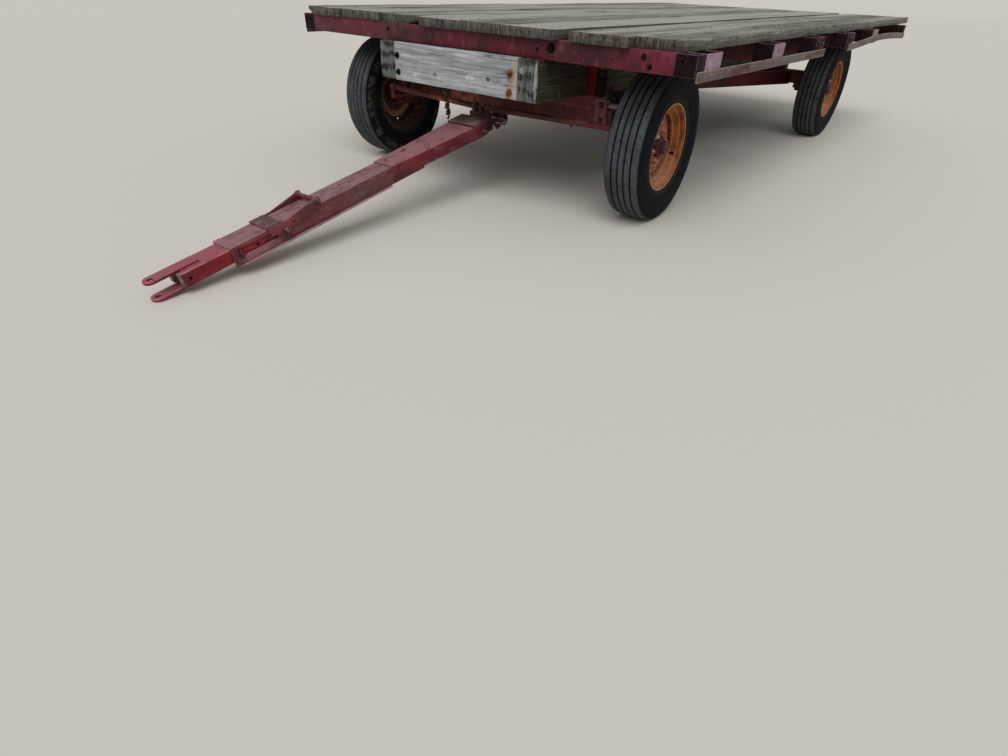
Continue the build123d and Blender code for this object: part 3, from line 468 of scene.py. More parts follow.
# Tyre rubber: the "reach" attribute is the distance from the wheel's axis as a share of the radius,
# and "outboard" the distance from the wheel's middle plane
def tyreRubber(name, look):
    f = Finish(name)
    reach = f.attribute("reach")
    cloud = f.noise(9, detail=7, rough=0.65)
    grain = f.noise(120, detail=4, rough=0.7, shift=3)
    f.colour = f.mix(f.step(cloud, 0.4, 0.62), look["rubber"], look["aged"])
    tread = f.step(reach, 0.965, 0.985)
    scuffed = f.step(cloud * 0.5 + f.noise(60, detail=6, rough=0.75, shift=12) * 0.5, 0.38, 0.58)
    f.lay(tread * (scuffed * 0.42 + 0.3), look["ribs"])
    dusty = f.step(f.noise(5, detail=8, rough=0.7, shift=9) + (grain - 0.5) * 0.3, 0.5, 0.7)
    f.lay(dusty * look["dustAmount"], look["dust"])
    f.lay(f.step(reach, 0.66, 0.6) * f.step(grain, 0.4, 0.6) * 0.5, look["dust"])
    crazed = f.node("ShaderNodeTexVoronoi", {"feature": "DISTANCE_TO_EDGE"}, {"Vector": f.place, "Scale": 70})
    fleck = f.step(crazed, 0.035, 0.012) * f.step(cloud, 0.5, 0.62)
    f.lay(fleck * 0.5, look["crack"])
    specks = f.step(f.noise(210, detail=3, rough=0.6, shift=5), 0.63, 0.7)
    f.lay(specks * (0.12 + tread * 0.4), look["dust"])
    # dried mud on the inboard shoulder
    shoulder = f.step(reach, 0.8, 0.86) * f.step(reach, 0.95, 0.93)
    mud = shoulder * f.step(f.attribute("outboard"), -0.02, -0.05)
    mud = mud * f.step(f.noise(22, detail=8, rough=0.72, shift=15), 0.45, 0.58)
    f.lay(mud * 0.7, look["mud"])
    rough = 0.8 + dusty * 0.1 - tread * 0.08
    return f.done(rough, grain * 0.3 + cloud * 0.4 - fleck * 0.5, 0.35, gloss=0.12)


sideRubber = tyreRubber("sideRubber", {
    "rubber": (6, 9, 14), "aged": (9, 13, 21), "ribs": (90, 95, 98), "crack": (9, 10, 11),
    "dust": (74, 74, 70), "dustAmount": 0.13, "mud": (78, 74, 62)})


# Rusted wheel: bands by distance from the axis as painted highlights and painted shade, disc in old paint
# with painted glints, upward faces lightened as painted light, inboard side darkened by grime and painted
# shade
def rustedWheel(name, look):
    f = Finish(name)
    reach = f.attribute("reach")
    cloud = f.noise(14, detail=8, rough=0.68)
    flakes = f.noise(42, detail=7, rough=0.72, shift=6)
    grain = f.noise(110, detail=5, rough=0.7, shift=4)
    f.colour = f.mix(f.step(cloud, 0.38, 0.64), look["dark"], look["light"])
    # the rings lay painted highlights on the rim's ridges and painted shade in the creases where its parts
    # meet
    for at, half, strength, shade in look["rings"]:
        f.lay(f.step(abs(reach - at), half, half * 0.4) * strength, shade)
    f.lay(f.step(flakes, 0.56, 0.66) * 0.45, look["bright"])
    f.lay(f.step(flakes, 0.44, 0.35) * 0.5, look["scale"])
    # the disc's pale flecks are old pale paint and painted glints
    painted = f.step(reach, 0.425, 0.41) * f.step(flakes + (cloud - 0.5) * 0.5, 0.58, 0.48)
    paint = f.mix(f.step(grain + (flakes - 0.5) * 0.5, 0.48, 0.58), look["paintLeft"], look["palePaintAndGlints"])
    f.lay(painted * 0.85, paint)
    f.lay(f.step(grain, 0.42, 0.3) * 0.4, look["scale"])
    # faces that look up are lightened in the pale dust tone: painted light from the sky above
    f.lay(f.step(f.faceZ, 0.1, 0.8) * 0.35, look["dust"])
    # the inboard side is darkened: grime, and painted shade on the side turned away from the light
    inboard = f.step(f.attribute("outboard"), 0.004, -0.002)
    f.lay(inboard * f.step(flakes, 0.9, 0.5) * 0.96, look["dirtAndShade"])
    rough = 0.88 - f.step(grain, 0.5, 0.8) * 0.2
    return f.done(rough, grain * 0.5 + cloud * 0.6 + flakes * 0.4, 0.55)


rimRust = rustedWheel("rimRust", {
    "dark": (104, 48, 12), "light": (166, 88, 26), "bright": (208, 146, 78), "scale": (54, 25, 11),
    "paintLeft": (118, 50, 42), "palePaintAndGlints": (236, 176, 146), "dirtAndShade": (24, 11, 8), "dust": (206, 156, 122),
    # bright rings are painted highlights on the ridges, dark rings painted shade where the parts meet
    "rings": [      # distance from the axis as a share of the tyre's radius, half width, strength, colour
        (0.57, 0.018, 0.85, (198, 142, 86)), (0.542, 0.012, 0.75, (92, 44, 18)),
        (0.515, 0.007, 0.7, (196, 132, 70)), (0.485, 0.018, 0.5, (128, 84, 34)),
        (0.449, 0.007, 0.7, (190, 124, 66)), (0.436, 0.01, 0.9, (48, 24, 14))]})
print("finishes made")


def clearSelection():
    if bpy.context.object and bpy.context.object.mode != "OBJECT":
        bpy.ops.object.mode_set(mode="OBJECT")
    bpy.ops.object.select_all(action="DESELECT")


def choose(*objects):
    clearSelection()
    for one in objects:
        one.select_set(True)
    bpy.context.view_layer.objects.active = objects[0]


# Edit mode on one piece, with all or none of it selected
@contextmanager
def editing(piece, action="SELECT"):
    choose(piece)
    bpy.ops.object.mode_set(mode="EDIT")
    bpy.ops.mesh.select_all(action=action)
    yield
    bpy.ops.object.mode_set(mode="OBJECT")


# Edit mode with only the vertices or edges selected that a rule picks
@contextmanager
def editingPicked(piece, kind, rule):
    with editing(piece, "DESELECT"):
        bpy.ops.mesh.select_mode(type=kind)
        bpy.ops.object.mode_set(mode="OBJECT")
        for part in piece.data.vertices if kind == "VERT" else piece.data.edges:
            part.select = rule(part)
        bpy.ops.object.mode_set(mode="EDIT")
        yield
        bpy.ops.mesh.select_mode(type="VERT")


# Puts a piece's place into its mesh
def settle(piece):
    choose(piece)
    bpy.ops.object.transform_apply(location=True, rotation=True, scale=True)


def applyModifier(piece, kind, **settings):
    choose(piece)
    bpy.ops.object.modifier_add(type=kind)
    modifier = piece.modifiers[-1]
    for key, value in settings.items():
        setattr(modifier, key, value)
    bpy.ops.object.modifier_apply(modifier=modifier.name)


def bevelEdges(piece, width, edgeSlot=-1, segments=2, angle=38):
    applyModifier(piece, "BEVEL", width=width, segments=segments, limit_method="ANGLE",
                  angle_limit=math.radians(angle), material=edgeSlot, use_clamp_overlap=True)


def smooth(piece, angle=35):
    choose(piece)
    bpy.ops.object.shade_smooth_by_angle(angle=math.radians(angle))


def mergedNormals(piece, gap=1e-5):
    with editing(piece):
        bpy.ops.mesh.remove_doubles(threshold=gap)
        bpy.ops.mesh.normals_make_consistent(inside=False)


def coat(piece, *materials):
    piece.data.materials.clear()
    for material in materials:
        piece.data.materials.append(material)


# Gives the faces that a rule picks a finish of their own
def recoat(piece, finish, rule):
    piece.data.materials.append(finish)
    for polygon in piece.data.polygons:
        if rule(polygon):
            polygon.material_index = len(piece.data.materials) - 1


def release(piece, name, body, nodes=()):
    settle(piece)
    piece.name = piece.data.name = name
    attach(piece, body)
    if nodes:
        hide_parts(*nodes)
    return piece


def joined(pieces):
    choose(*pieces)
    if len(pieces) > 1:
        bpy.ops.object.join()
    return bpy.context.object


def copyOf(piece, place):
    twin = bpy.data.objects.new(piece.name + "Copy", piece.data.copy())
    bpy.context.scene.collection.objects.link(twin)
    twin.matrix_world = place @ piece.matrix_world
    return twin


def discard(*pieces):
    for piece in pieces:
        bpy.data.objects.remove(piece)


def cylinder(sides, radius, depth, at=(0, 0, 0), turn=(0, 0, 0)):
    clearSelection()
    bpy.ops.mesh.primitive_cylinder_add(vertices=sides, radius=radius, depth=depth, location=at,
                                        rotation=turn)
    return bpy.context.object


# Takes another piece's shape out of a piece
def cutAway(piece, cutter, **settings):
    applyModifier(piece, "BOOLEAN", operation="DIFFERENCE", object=cutter, solver="EXACT", **settings)
    discard(cutter)


# Cuts a piece's mesh along a plane, or, with fill, takes off what lies beyond it
def cutAcross(piece, point, normal, fill=False):
    with editing(piece):
        bpy.ops.mesh.bisect(plane_co=point, plane_no=normal, clear_outer=fill, use_fill=fill)


# A line of points laid out by extruding one vertex, ready to be spun or widened
def drawnLine(points, closed=False):
    clearSelection()
    bpy.ops.mesh.primitive_plane_add(size=0.01, location=points[0])
    piece = bpy.context.object
    with editing(piece):
        bpy.ops.mesh.merge(type="CENTER")
        for before, after in zip(points, points[1:]):
            move = Vector(after) - Vector(before)
            bpy.ops.mesh.extrude_vertices_move(TRANSFORM_OT_translate={"value": move})
        if closed:
            bpy.ops.mesh.select_all(action="SELECT")
            bpy.ops.mesh.edge_face_add()
    settle(piece)
    return piece


# A section of (x, radius) turned about the X axis
def spun(section, steps):
    piece = drawnLine([(x, 0, radius) for x, radius in section])
    with editing(piece):
        bpy.ops.mesh.spin(steps=steps, angle=2 * math.pi, center=(0, 0, 0), axis=(1, 0, 0))
    mergedNormals(piece)
    return piece


# An outline filled and pushed to its thickness
def plate(points, push, bevel=0.001):
    piece = drawnLine(points, True)
    with editing(piece):
        bpy.ops.mesh.extrude_region_move(TRANSFORM_OT_translate={"value": push})
    mergedNormals(piece)
    bevelEdges(piece, bevel, angle=30)
    smooth(piece)
    return piece


# A line with rounded corners, thickened; sides is the curve's bevel resolution
def rod(points, radius, bend=0.0, closed=False, sides=2):
    line = drawnLine(points)
    if closed:
        with editingPicked(line, "VERT", lambda vertex: vertex.index in (0, len(points) - 1)):
            bpy.ops.mesh.edge_face_add()
    if bend:
        applyModifier(line, "BEVEL", affect="VERTICES", width=bend, segments=5, limit_method="NONE")
    choose(line)
    bpy.ops.object.convert(target="CURVE")
    line = bpy.context.object
    line.data.bevel_depth = radius
    line.data.bevel_resolution = sides
    line.data.use_fill_caps = True
    bpy.ops.object.convert(target="MESH")
    line = bpy.context.object
    mergedNormals(line)
    smooth(line, 50)
    return line


# Nodes that keep their shape get rounded edges; a row is nodes, slot, edge radius, faces' and edges' finish
dressed = [
    ("front_axle rear_axle", "gear", 0.006, "gearPaint", "gearEdge"),
    ("pivot_yoke", "iron", 0.003, "gearPaint", "gearEdge"),
    ("front_bolster rear_bolster", "gear", 0.005, "gearPaint", "gearEdge"),
    ("reach", "gear", 0.008, "reachPaint", "gearEdge"),
    ("rear_hound_left rear_hound_right", "gear", 0.004, "reachPaint", "gearEdge"),
    ("front_hound_left front_hound_right", "gear", 0.003, "gearPaint", "gearEdge"),
    ("steering_bracket tie_rod_left tie_rod_right", "iron", 0.003, "gearPaint", "gearEdge"),
    ("knuckle_left knuckle_right", "iron", 0.004, "gearPaint", "gearEdge"),
    ("tongue_box", "tongue", 0.004, "tonguePaint", "tongueEdge"),
    ("tongue_sleeve", "tongue", 0.003, "sleevePaint", "tongueEdge"),
    ("latch_yoke", "tongue", 0.0018, "latchPaint", "tongueEdge"),
    ("extension_bar", "bar", 0.005, "barPaint", "barEdge"),
    ("clevis_upper clevis_lower", "bar", 0.003, "barPaint", "barEdge"),
    ("header", "frame", 0.003, "headerPaint", "headerEdge"),
    ("tail_channel", "frame", 0.003, "rackSteel", "rackEdge"),
    (" ".join(f"cross_channel_{place}" for place in range(1, 6)), "frame", 0.002, "rackSteel", "rackEdge"),
    ("stake_pockets_left stake_pockets_right", "pocket", 0.0025, "pocketSteel", "pocketEdge"),
    ("rub_rail_front_left rub_rail_front_right", "rail", 0.002, "railPaint", "railEdge"),
    ("rub_rail_rear_left rub_rail_rear_right", "rail", 0.002, "railPaint", "railEdge"),
]


def dress(node, slotName, width, face, edge):
    source = frame["nodes"][node]
    piece = bpy.data.objects.new(node + "_worn", source.data.copy())
    bpy.context.scene.collection.objects.link(piece)
    coat(piece, steels[face], steels[edge])
    for polygon in piece.data.polygons:
        polygon.material_index = 0
    with editing(piece):
        bpy.ops.mesh.remove_doubles(threshold=2e-5)
        bpy.ops.mesh.dissolve_limited(angle_limit=math.radians(1))
    bevelEdges(piece, width, edgeSlot=1)
    smooth(piece)
    return release(piece, node + "_worn", source["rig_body"], [node])


worn = {node: dress(node, *row) for nodes, *row in dressed for node in nodes.split()}

# Faces with a finish of their own, and the places where it begins
patches = {
    "lilacPockets": [(-0.36, 0.66), (2.6, 3.0)],    # stretches along the wagon, from the front axle
    "lilacFrom": 1.36,
    "throat": 0.035,            # depth between the clevis ears
    "bolsterParts": (-0.6655, -0.6375, 0.6375, 0.6655),     # its flush faces part here
    "gusset": (0.666, 0.578),   # outboard of, below
    "uppers": [("blackPlateAndShade", 0.64, 1), ("stakePaint", 0.58, 0.64)],    # finish, from and to
    "upperFoot": 0.582,
}
for hand, side in hands.items():
    # the pockets' outboard faces kept their lilac coat, apart from the third and fourth on each side
    recoat(worn[f"stake_pockets_{hand}"], steels["lilacPaint"], lambda face: (
        face.normal.x * side > 0.9 and face.center.x * side > patches["lilacFrom"]
        and any(low < face.center.y - axleY < high for low, high in patches["lilacPockets"])))
foremost = min(vertex.co.y for vertex in worn["extension_bar"].data.vertices)
recoat(worn["extension_bar"], steels["throatSteel"], lambda face: (
    face.center.y < foremost + patches["throat"] and face.normal.y < -0.2 and face.area > 1e-6))
# the left gusset beside the front bolster is mauve, the wings outboard of its stakes black, the stakes red
bolster = worn["front_bolster"]
for across in patches["bolsterParts"]:
    cutAcross(bolster, (across, 0, 0), (1, 0, 0))
beyond, below = patches["gusset"]
recoat(bolster, steels["mauvePlate"], lambda face: face.center.x > beyond and face.center.z < below)
for finish, near, far in patches["uppers"]:
    recoat(bolster, steels[finish], lambda face: (
        near < abs(face.center.x) <= far and face.center.z > patches["upperFoot"]))
print("steelwork dressed")

# Tyres: spun from a section with ribs, grooves, shoulder and sidewall rings; outboard is +X
tyre = {
    "radius": 0.38,
    "treadHalf": 0.088,
    "grooves": (0.017, 0.053),      # middles of the grooves, each side
    "grooveHalf": 0.006,
    "grooveWall": [(-0.0012, 0), (0.0008, 0.002), (0.002, 0.012)],      # in from the groove's edge, drop
    "crown": 0.006,
    "shoulder": (0.003, 0.0085),    # half width, drop
    "steps": 96,
    "side": [
        (0.0965, 0.3655), (0.1015, 0.35), (0.1045, 0.333), (0.106, 0.314), (0.1062, 0.306),
        (0.1078, 0.304), (0.1078, 0.297), (0.1058, 0.295), (0.104, 0.277), (0.1, 0.258), (0.0955, 0.244),
        (0.0965, 0.241), (0.0955, 0.236), (0.09, 0.229), (0.0815, 0.222), (0.0802, 0.204)],
}


def treadProfile(t):
    def crownAt(x):
        return t["radius"] - t["crown"] * (x / t["treadHalf"]) ** 2

    half = [(0.0, crownAt(0))]
    for middle in t["grooves"]:
        near, far = middle - t["grooveHalf"], middle + t["grooveHalf"]
        half += [(near + into, crownAt(near) - drop) for into, drop in t["grooveWall"]]
        half += [(far - into, crownAt(far) - drop) for into, drop in reversed(t["grooveWall"])]
    wide, drop = t["shoulder"]
    half += [(t["treadHalf"] - wide, crownAt(t["treadHalf"])), (t["treadHalf"] + wide, t["radius"] - drop)]
    half += t["side"]
    return [(-x, radius) for x, radius in reversed(half[1:])] + half


def markReach(piece, radius):
    reach, outboard = (piece.data.attributes.new(name, "FLOAT", "POINT") for name in ("reach", "outboard"))
    for number, vertex in enumerate(piece.data.vertices):
        reach.data[number].value = math.hypot(vertex.co.y, vertex.co.z) / radius
        outboard.data[number].value = vertex.co.x


tyreMaster = spun(treadProfile(tyre), tyre["steps"])
markReach(tyreMaster, tyre["radius"])
coat(tyreMaster, sideRubber)
smooth(tyreMaster, 28)

# Rims: flange, bead seat, drop centre and a dished disc with hand holes
rim = {
    "section": [
        (0.08, 0.2185), (0.083, 0.2195), (0.0856, 0.2178), (0.0858, 0.214), (0.0835, 0.209),
        (0.0812, 0.2035), (0.077, 0.199), (0.059, 0.1975), (0.057, 0.1955), (0.033, 0.1705),
        (0.03, 0.169), (0.006, 0.1672), (0.0045, 0.158), (0.0045, 0.15), (0.006, 0.145),
        (0.01, 0.14), (0.019, 0.123), (0.0225, 0.1165), (0.0238, 0.112), (0.024, 0.106),
        (0.0225, 0.104), (0.0225, 0.099), (0.024, 0.097), (0.024, 0.0548), (0.0162, 0.0548),
        (0.0162, 0.108), (0.011, 0.119), (0.002, 0.138), (-0.003, 0.145), (-0.003, 0.1668),
        (-0.029, 0.167), (-0.054, 0.1965), (-0.08, 0.198), (-0.0848, 0.204), (-0.0856, 0.2178),
        (-0.083, 0.2195), (-0.08, 0.2185), (-0.0797, 0.2045), (-0.06, 0.2028), (-0.032, 0.1722),
        (0.032, 0.1722), (0.06, 0.2028), (0.0797, 0.2045), (0.08, 0.2185)],
    "steps": 72,
    "handHoles": {"count": 4, "degrees": 25, "at": 0.1545, "radius": 0.0085, "depth": 0.04},
}
rimMaster = spun(rim["section"], rim["steps"])
holes, cutters = rim["handHoles"], []
for number in range(holes["count"]):
    turn = math.radians(holes["degrees"]) + number * 2 * math.pi / holes["count"]
    at = (0, holes["at"] * math.cos(turn), holes["at"] * math.sin(turn))
    cutters.append(cylinder(20, holes["radius"], holes["depth"], at, (0, math.pi / 2, 0)))
cutAway(rimMaster, joined(cutters))
markReach(rimMaster, tyre["radius"])
coat(rimMaster, rimRust)
smooth(rimMaster, 30)

# Hubs: flange behind the disc, barrel, pressed cap, a ring of nuts on studs, and the valve
hub = {
    "section": [
        (-0.055, 0.0221), (-0.055, 0.046), (-0.045, 0.048), (0.0005, 0.053), (0.0017, 0.096),
        (0.004, 0.098), (0.0135, 0.098), (0.0157, 0.096), (0.0157, 0.056), (0.0205, 0.0535),
        (0.0405, 0.0525), (0.0455, 0.049), (0.0457, 0.0395), (0.047, 0.037), (0.049, 0.0345),
        (0.07, 0.0322), (0.0735, 0.03), (0.0755, 0.025), (0.0757, 0.0)],
    "steps": 40,
    "nuts": 6, "nutTurn": 0.7,
    "nut": (0.0135, 0.013, 0.003, 0.008),       # radius, height, washer, stud
    "boltCircle": 0.076,
    "seat": 0.0243,
    "valve": [(0.034, 0.176, 0), (0.048, 0.17, 0), (0.062, 0.164, 0)],
    "valveRadius": 0.0055,
}


# Head or nut on a washer, pointing along +Z from 0
def makeBolt(radius, height, washer, stud=0.0):
    # sides, radius, depth, middle, edge
    rows = [(6, radius, height, washer + height / 2, radius * 0.12),
            (18, radius * 1.32, washer, washer / 2, washer * 0.3)]
    if stud:
        rows.append((12, radius * 0.52, stud, washer + height + stud / 2 - 0.001, radius * 0.1))
    parts = []
    for sides, wide, depth, middle, edge in rows:
        parts.append(cylinder(sides, wide, depth, (0, 0, middle)))
        bevelEdges(parts[-1], edge, segments=1, angle=30)
    whole = joined(parts)
    settle(whole)
    smooth(whole, 25)
    return whole


hubMaster = spun(hub["section"], hub["steps"])
markReach(hubMaster, tyre["radius"])
coat(hubMaster, steels["hubIron"], steels["nutPaintAndHighlight"])
wheelNut = makeBolt(*hub["nut"])
coat(wheelNut, steels["nutPaintAndHighlight"])
nuts = []
for number in range(hub["nuts"]):
    turn = number * 2 * math.pi / hub["nuts"]
    place = Matrix.Rotation(turn, 4, "X") @ Matrix.Translation((hub["seat"], 0, hub["boltCircle"]))
    place = place @ Matrix.Rotation(math.pi / 2, 4, "Y") @ Matrix.Rotation(number * hub["nutTurn"], 4, "Z")
    nuts.append(copyOf(wheelNut, place))
smooth(hubMaster, 30)
valve = rod(hub["valve"], hub["valveRadius"])
coat(valve, steels["blackPlateAndShade"])
hubMaster = joined([hubMaster, valve] + nuts)
settle(hubMaster)

wheelSet = {        # degrees
    "steerAtRest": 3.3,
    "spins": {"front_left": -20, "front_right": 64, "rear_left": 141, "rear_right": 102},   # valves differ
}
for corner, spin in wheelSet["spins"].items():
    low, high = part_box("tyre_" + corner)
    yaw = (wheelSet["steerAtRest"] if "front" in corner else 0) + (180 if "right" in corner else 0)
    turned = Matrix.Translation((low + high) / 2) @ Matrix.Rotation(math.radians(yaw), 4, "Z")
    turned = turned @ Matrix.Rotation(math.radians(spin), 4, "X")
    for kind, master in (("tyre", tyreMaster), ("rim", rimMaster), ("hub", hubMaster)):
        node = f"{kind}_{corner}"
        release(copyOf(master, turned), node + "_worn", "wheel_" + corner, [node])
discard(wheelNut, tyreMaster, rimMaster, hubMaster)
print("wheels made")

# Deck planks, right to left, each with its own wear; places along the wagon are from the front axle
channelsAt = (-0.27, 0.576, 1.339, 2.064, 2.789)
deck = {
    "half": 1.28, "bottom": 0.865, "thick": 0.045, "frontAt": -0.44, "rearAt": 4.47,
    "warp": 0.007, "edgeWander": 0.004, "endWander": 0.006,
    "cuts": (15, 66, 3), "endCuts": (0.012, 0.035), "endReach": 0.008, "edge": 0.003,
    # width, gap after it, front past the header, rear set-back, greyness
    "planks": [(0.311, 0.005, 0.022, 0.0, 0.35), (0.345, 0.005, 0.008, 0.012, 0.6),
               (0.336, 0.006, -0.006, 0.004, 0.45), (0.321, 0.005, 0.026, 0.018, 0.7),
               (0.267, 0.005, 0.044, 0.006, 0.3), (0.327, 0.075, 0.046, 0.014, 0.75),
               (0.311, 0.005, 0.03, 0.002, 0.5), (0.232, 0.0, -0.03, 0.008, 0.25)],
    # broken corners: plank, side, end, and how far the break reaches across, up and along
    "broken": [(2, 1, 0, 0.115, 0.038, 0.1), (0, -1, 0, 0.05, 0.03, 0.05), (5, 1, 1, 0.07, 0.04, 0.09)],
    "screwsAt": (-0.405, *channelsAt, 3.932), "screwShares": (0.2, 0.8),
    "screwDrift": 0.008, "screwSunk": 0.0015,
}


def cloudTexture(name, size, depth=4):
    cloud = bpy.data.textures.new(name, "CLOUDS")
    cloud.noise_scale = size
    cloud.noise_depth = depth
    return cloud


warpCloud = cloudTexture("warpCloud", 0.6)
edgeCloud = cloudTexture("edgeCloud", 0.12)
endCloud = cloudTexture("endCloud", 0.045)


# Divides the edges that run along one axis
def cutAlong(piece, axis, cuts):
    corners = piece.data.vertices

    def along(edge):
        run = corners[edge.vertices[1]].co - corners[edge.vertices[0]].co
        return abs(run[axis]) > 0.99 * run.length

    with editingPicked(piece, "EDGE", along):
        bpy.ops.mesh.subdivide(number_cuts=cuts)


# A sawn board from corner to corner, its edges rounded and its faces divided
def timber(low, high, cuts, bevel):
    clearSelection()
    low, high = Vector(low), Vector(high)
    bpy.ops.mesh.primitive_cube_add(size=1, location=(low + high) / 2, scale=high - low)
    piece = bpy.context.object
    settle(piece)
    bevelEdges(piece, bevel, angle=60)
    for axis, count in enumerate(cuts):
        if count:
            cutAlong(piece, axis, count)
    return piece


# Pushes a piece's skin about by a cloud; inside picks the vertices that move
def wander(piece, cloud, direction, strength, inside=None):
    if inside:
        picked = [vertex.index for vertex in piece.data.vertices if inside(vertex.co)]
        piece.vertex_groups.new(name="inside").add(picked, 1.0, "REPLACE")
    applyModifier(piece, "DISPLACE", texture=cloud, texture_coords="LOCAL", direction=direction,
                  strength=strength, mid_level=0.5, vertex_group="inside" if inside else "")
    piece.vertex_groups.clear()


def markTone(piece, tone):
    spread = piece.data.attributes.new("boardTone", "FLOAT", "POINT")
    spread.data.foreach_set("value", [tone] * len(piece.data.vertices))


# Coats a piece of timber and puts it in the place of its node
def placeTimber(piece, wood, node):
    coat(piece, timbers[wood])
    smooth(piece, 40)
    release(piece, node + "_worn", "chassis", [node])


fit = (2 * deck["half"] - sum(row[1] for row in deck["planks"])) / sum(row[0] for row in deck["planks"])
deckTop = deck["bottom"] + deck["thick"]
lanes, left = [], -deck["half"]
for width, gap, *wear in deck["planks"]:
    width *= fit
    lanes.append((left, width, *wear))
    left += width + gap
boards = []
for number, (left, width, past, setBack, tone) in enumerate(lanes):
    front, back = axleY + deck["frontAt"] - past, axleY + deck["rearAt"] - setBack
    board = timber((left, front, deck["bottom"]), (left + width, back, deckTop), deck["cuts"], deck["edge"])
    for offset in deck["endCuts"]:
        cutAcross(board, (0, front + offset, 0), (0, 1, 0))
        cutAcross(board, (0, back - offset, 0), (0, 1, 0))
    wander(board, endCloud, "Y", deck["endWander"], lambda at: (
        at.y < front + deck["endReach"] or at.y > back - deck["endReach"]))
    for index, side, end, across, up, along in deck["broken"]:
        if index == number:
            corner = Vector((left + width if side > 0 else left, back if end else front, deck["bottom"]))
            aside, above = Vector((-side * across, 0, 0)), Vector((0, 0, up))
            inboard = Vector((0, -along if end else along, 0))
            normal = (above - aside).cross(inboard - aside).normalized()
            if normal.dot(aside) > 0:
                normal.negate()
            cutAcross(board, corner + aside, normal, True)
    flip = 1 if number % 2 else -1
    wander(board, warpCloud, "Z", deck["warp"] * flip)
    wander(board, edgeCloud, "X", deck["edgeWander"] * flip)
    markTone(board, tone)
    boards.append(board)
placeTimber(joined(boards), "deckTimber", "deck_planks")

# Sills under the rack, and the board across their front ends
sill = {
    "inner": 0.455, "outer": 0.58, "bottom": 0.58, "top": 0.775, "rearAt": 3.9,
    "cuts": (5, 60, 7), "edge": 0.005, "endWander": 0.007, "endReach": 0.006, "edgeWander": 0.004,
    "tone": 0.5, "toneApart": 0.15,
}
endBoard = {
    "thick": 0.04, "cuts": (36, 0, 9), "edge": 0.003, "edgeWander": 0.004, "warp": 0.003, "tone": 0.5,
}
for hand, side in hands.items():
    inner, outer = sorted((side * sill["inner"], side * sill["outer"]))
    piece = timber((inner, boardY, sill["bottom"]), (outer, axleY + sill["rearAt"], sill["top"]),
                   sill["cuts"], sill["edge"])
    wander(piece, endCloud, "Y", sill["endWander"], lambda at: at.y < boardY + sill["endReach"])
    wander(piece, edgeCloud, "X", sill["edgeWander"])
    markTone(piece, sill["tone"] - sill["toneApart"] * side)
    placeTimber(piece, "sillTimber", "sill_" + hand)
low = (-sill["inner"], boardY, sill["bottom"])
high = (sill["inner"], boardY + endBoard["thick"], sill["top"])
frontBoard = timber(low, high, endBoard["cuts"], endBoard["edge"])
wander(frontBoard, edgeCloud, "Z", endBoard["edgeWander"])
wander(frontBoard, warpCloud, "Y", endBoard["warp"])
markTone(frontBoard, endBoard["tone"])
placeTimber(frontBoard, "boardTimber", "front_board")
print("timber made")

# Weld beads: a rod with a rippled skin
weld = {"radius": 0.0035, "step": 0.012, "ripple": 0.0028, "grain": 0.006}
beadCloud = cloudTexture("beadCloud", weld["grain"], 2)


def bead(points, radius=weld["radius"]):
    steps = []
    for before, after in zip(points, points[1:]):
        count = max(2, int((Vector(after) - Vector(before)).length / weld["step"]))
        steps += [Vector(before).lerp(Vector(after), number / count) for number in range(count)]
    line = rod(steps + [Vector(points[-1])], radius, sides=1)
    wander(line, beadCloud, "NORMAL", weld["ripple"])
    return line


# Carriage bolt head, pointing along +Z from 0
def makeRoundHead(radius, height):
    head = spun([(0, radius), (height * 0.3, radius * 0.97), (height * 0.7, radius * 0.72), (height, 0)], 16)
    head.matrix_world = Matrix.Rotation(-math.pi / 2, 4, "Y")
    settle(head)
    smooth(head, 50)
    return head


# Bolts: one of each kind is modelled, then copied; a row of a boltRow is kind, facing, place
hexBolts = {        # radius, height, washer, stud; a round head has only the first two
    "hex9": (0.009, 0.007, 0.002), "hex13": (0.013, 0.01, 0.003, 0.008),
    "hex17": (0.017, 0.012, 0.004, 0.01), "hex22": (0.022, 0.016, 0.005, 0.012),
}
roundHeads = {"dome6": (0.0065, 0.003), "dome9": (0.009, 0.005), "dome14": (0.014, 0.007)}
boltKinds = {name: makeBolt(*sizes) for name, sizes in hexBolts.items()}
boltKinds.update({name: makeRoundHead(*sizes) for name, sizes in roundHeads.items()})
boltTurn = 1.9      # radians from one bolt of a row to the next
quarter = math.pi / 2
facings = {
    "front": Matrix.Rotation(quarter, 4, "X"), "left": Matrix.Rotation(quarter, 4, "Y"),
    "right": Matrix.Rotation(-quarter, 4, "Y"), "up": Matrix.Identity(4),
    "down": Matrix.Rotation(math.pi, 4, "X"),
}

# Two frames for the ironwork: the front axle's middle on the ground, and the tongue's hinge, tongue along -Y
tonguePlace = {"pivotAhead": 0.09, "hingeAhead": 0.365, "hingeHeight": 0.36, "pitch": 9.108}
hingeAt = (0, tonguePlace["pivotAhead"] - tonguePlace["hingeAhead"], tonguePlace["hingeHeight"])
fromAxle = Matrix.Translation((0, axleY, 0))
underPivot = fromAxle @ Matrix.Translation((0, -tonguePlace["pivotAhead"], 0)) @ Matrix.Rotation(
    math.radians(wheelSet["steerAtRest"]), 4, "Z")
fromHinge = underPivot @ Matrix.Translation(hingeAt) @ Matrix.Rotation(
    math.radians(tonguePlace["pitch"]), 4, "X")


# Joins small pieces drawn in a frame of their own and sets them on the wagon
def put(pieces, name, finish, body="chassis", base=fromAxle):
    piece = joined(pieces)
    piece.matrix_world = base @ piece.matrix_world
    coat(piece, steels[finish])
    return release(piece, name, body)


def boltRow(rows):
    made = []
    for number, (kind, facing, at) in enumerate(rows):
        place = Matrix.Translation(at) @ facings[facing] @ Matrix.Rotation(number * boltTurn, 4, "Z")
        made.append(copyOf(boltKinds[kind], place))
    return made


# What is drawn on the left, made for both sides
def eachSide(make, points, *settings):
    return [make([(side * x, y, z) for x, y, z in points], *settings) for side in hands.values()]


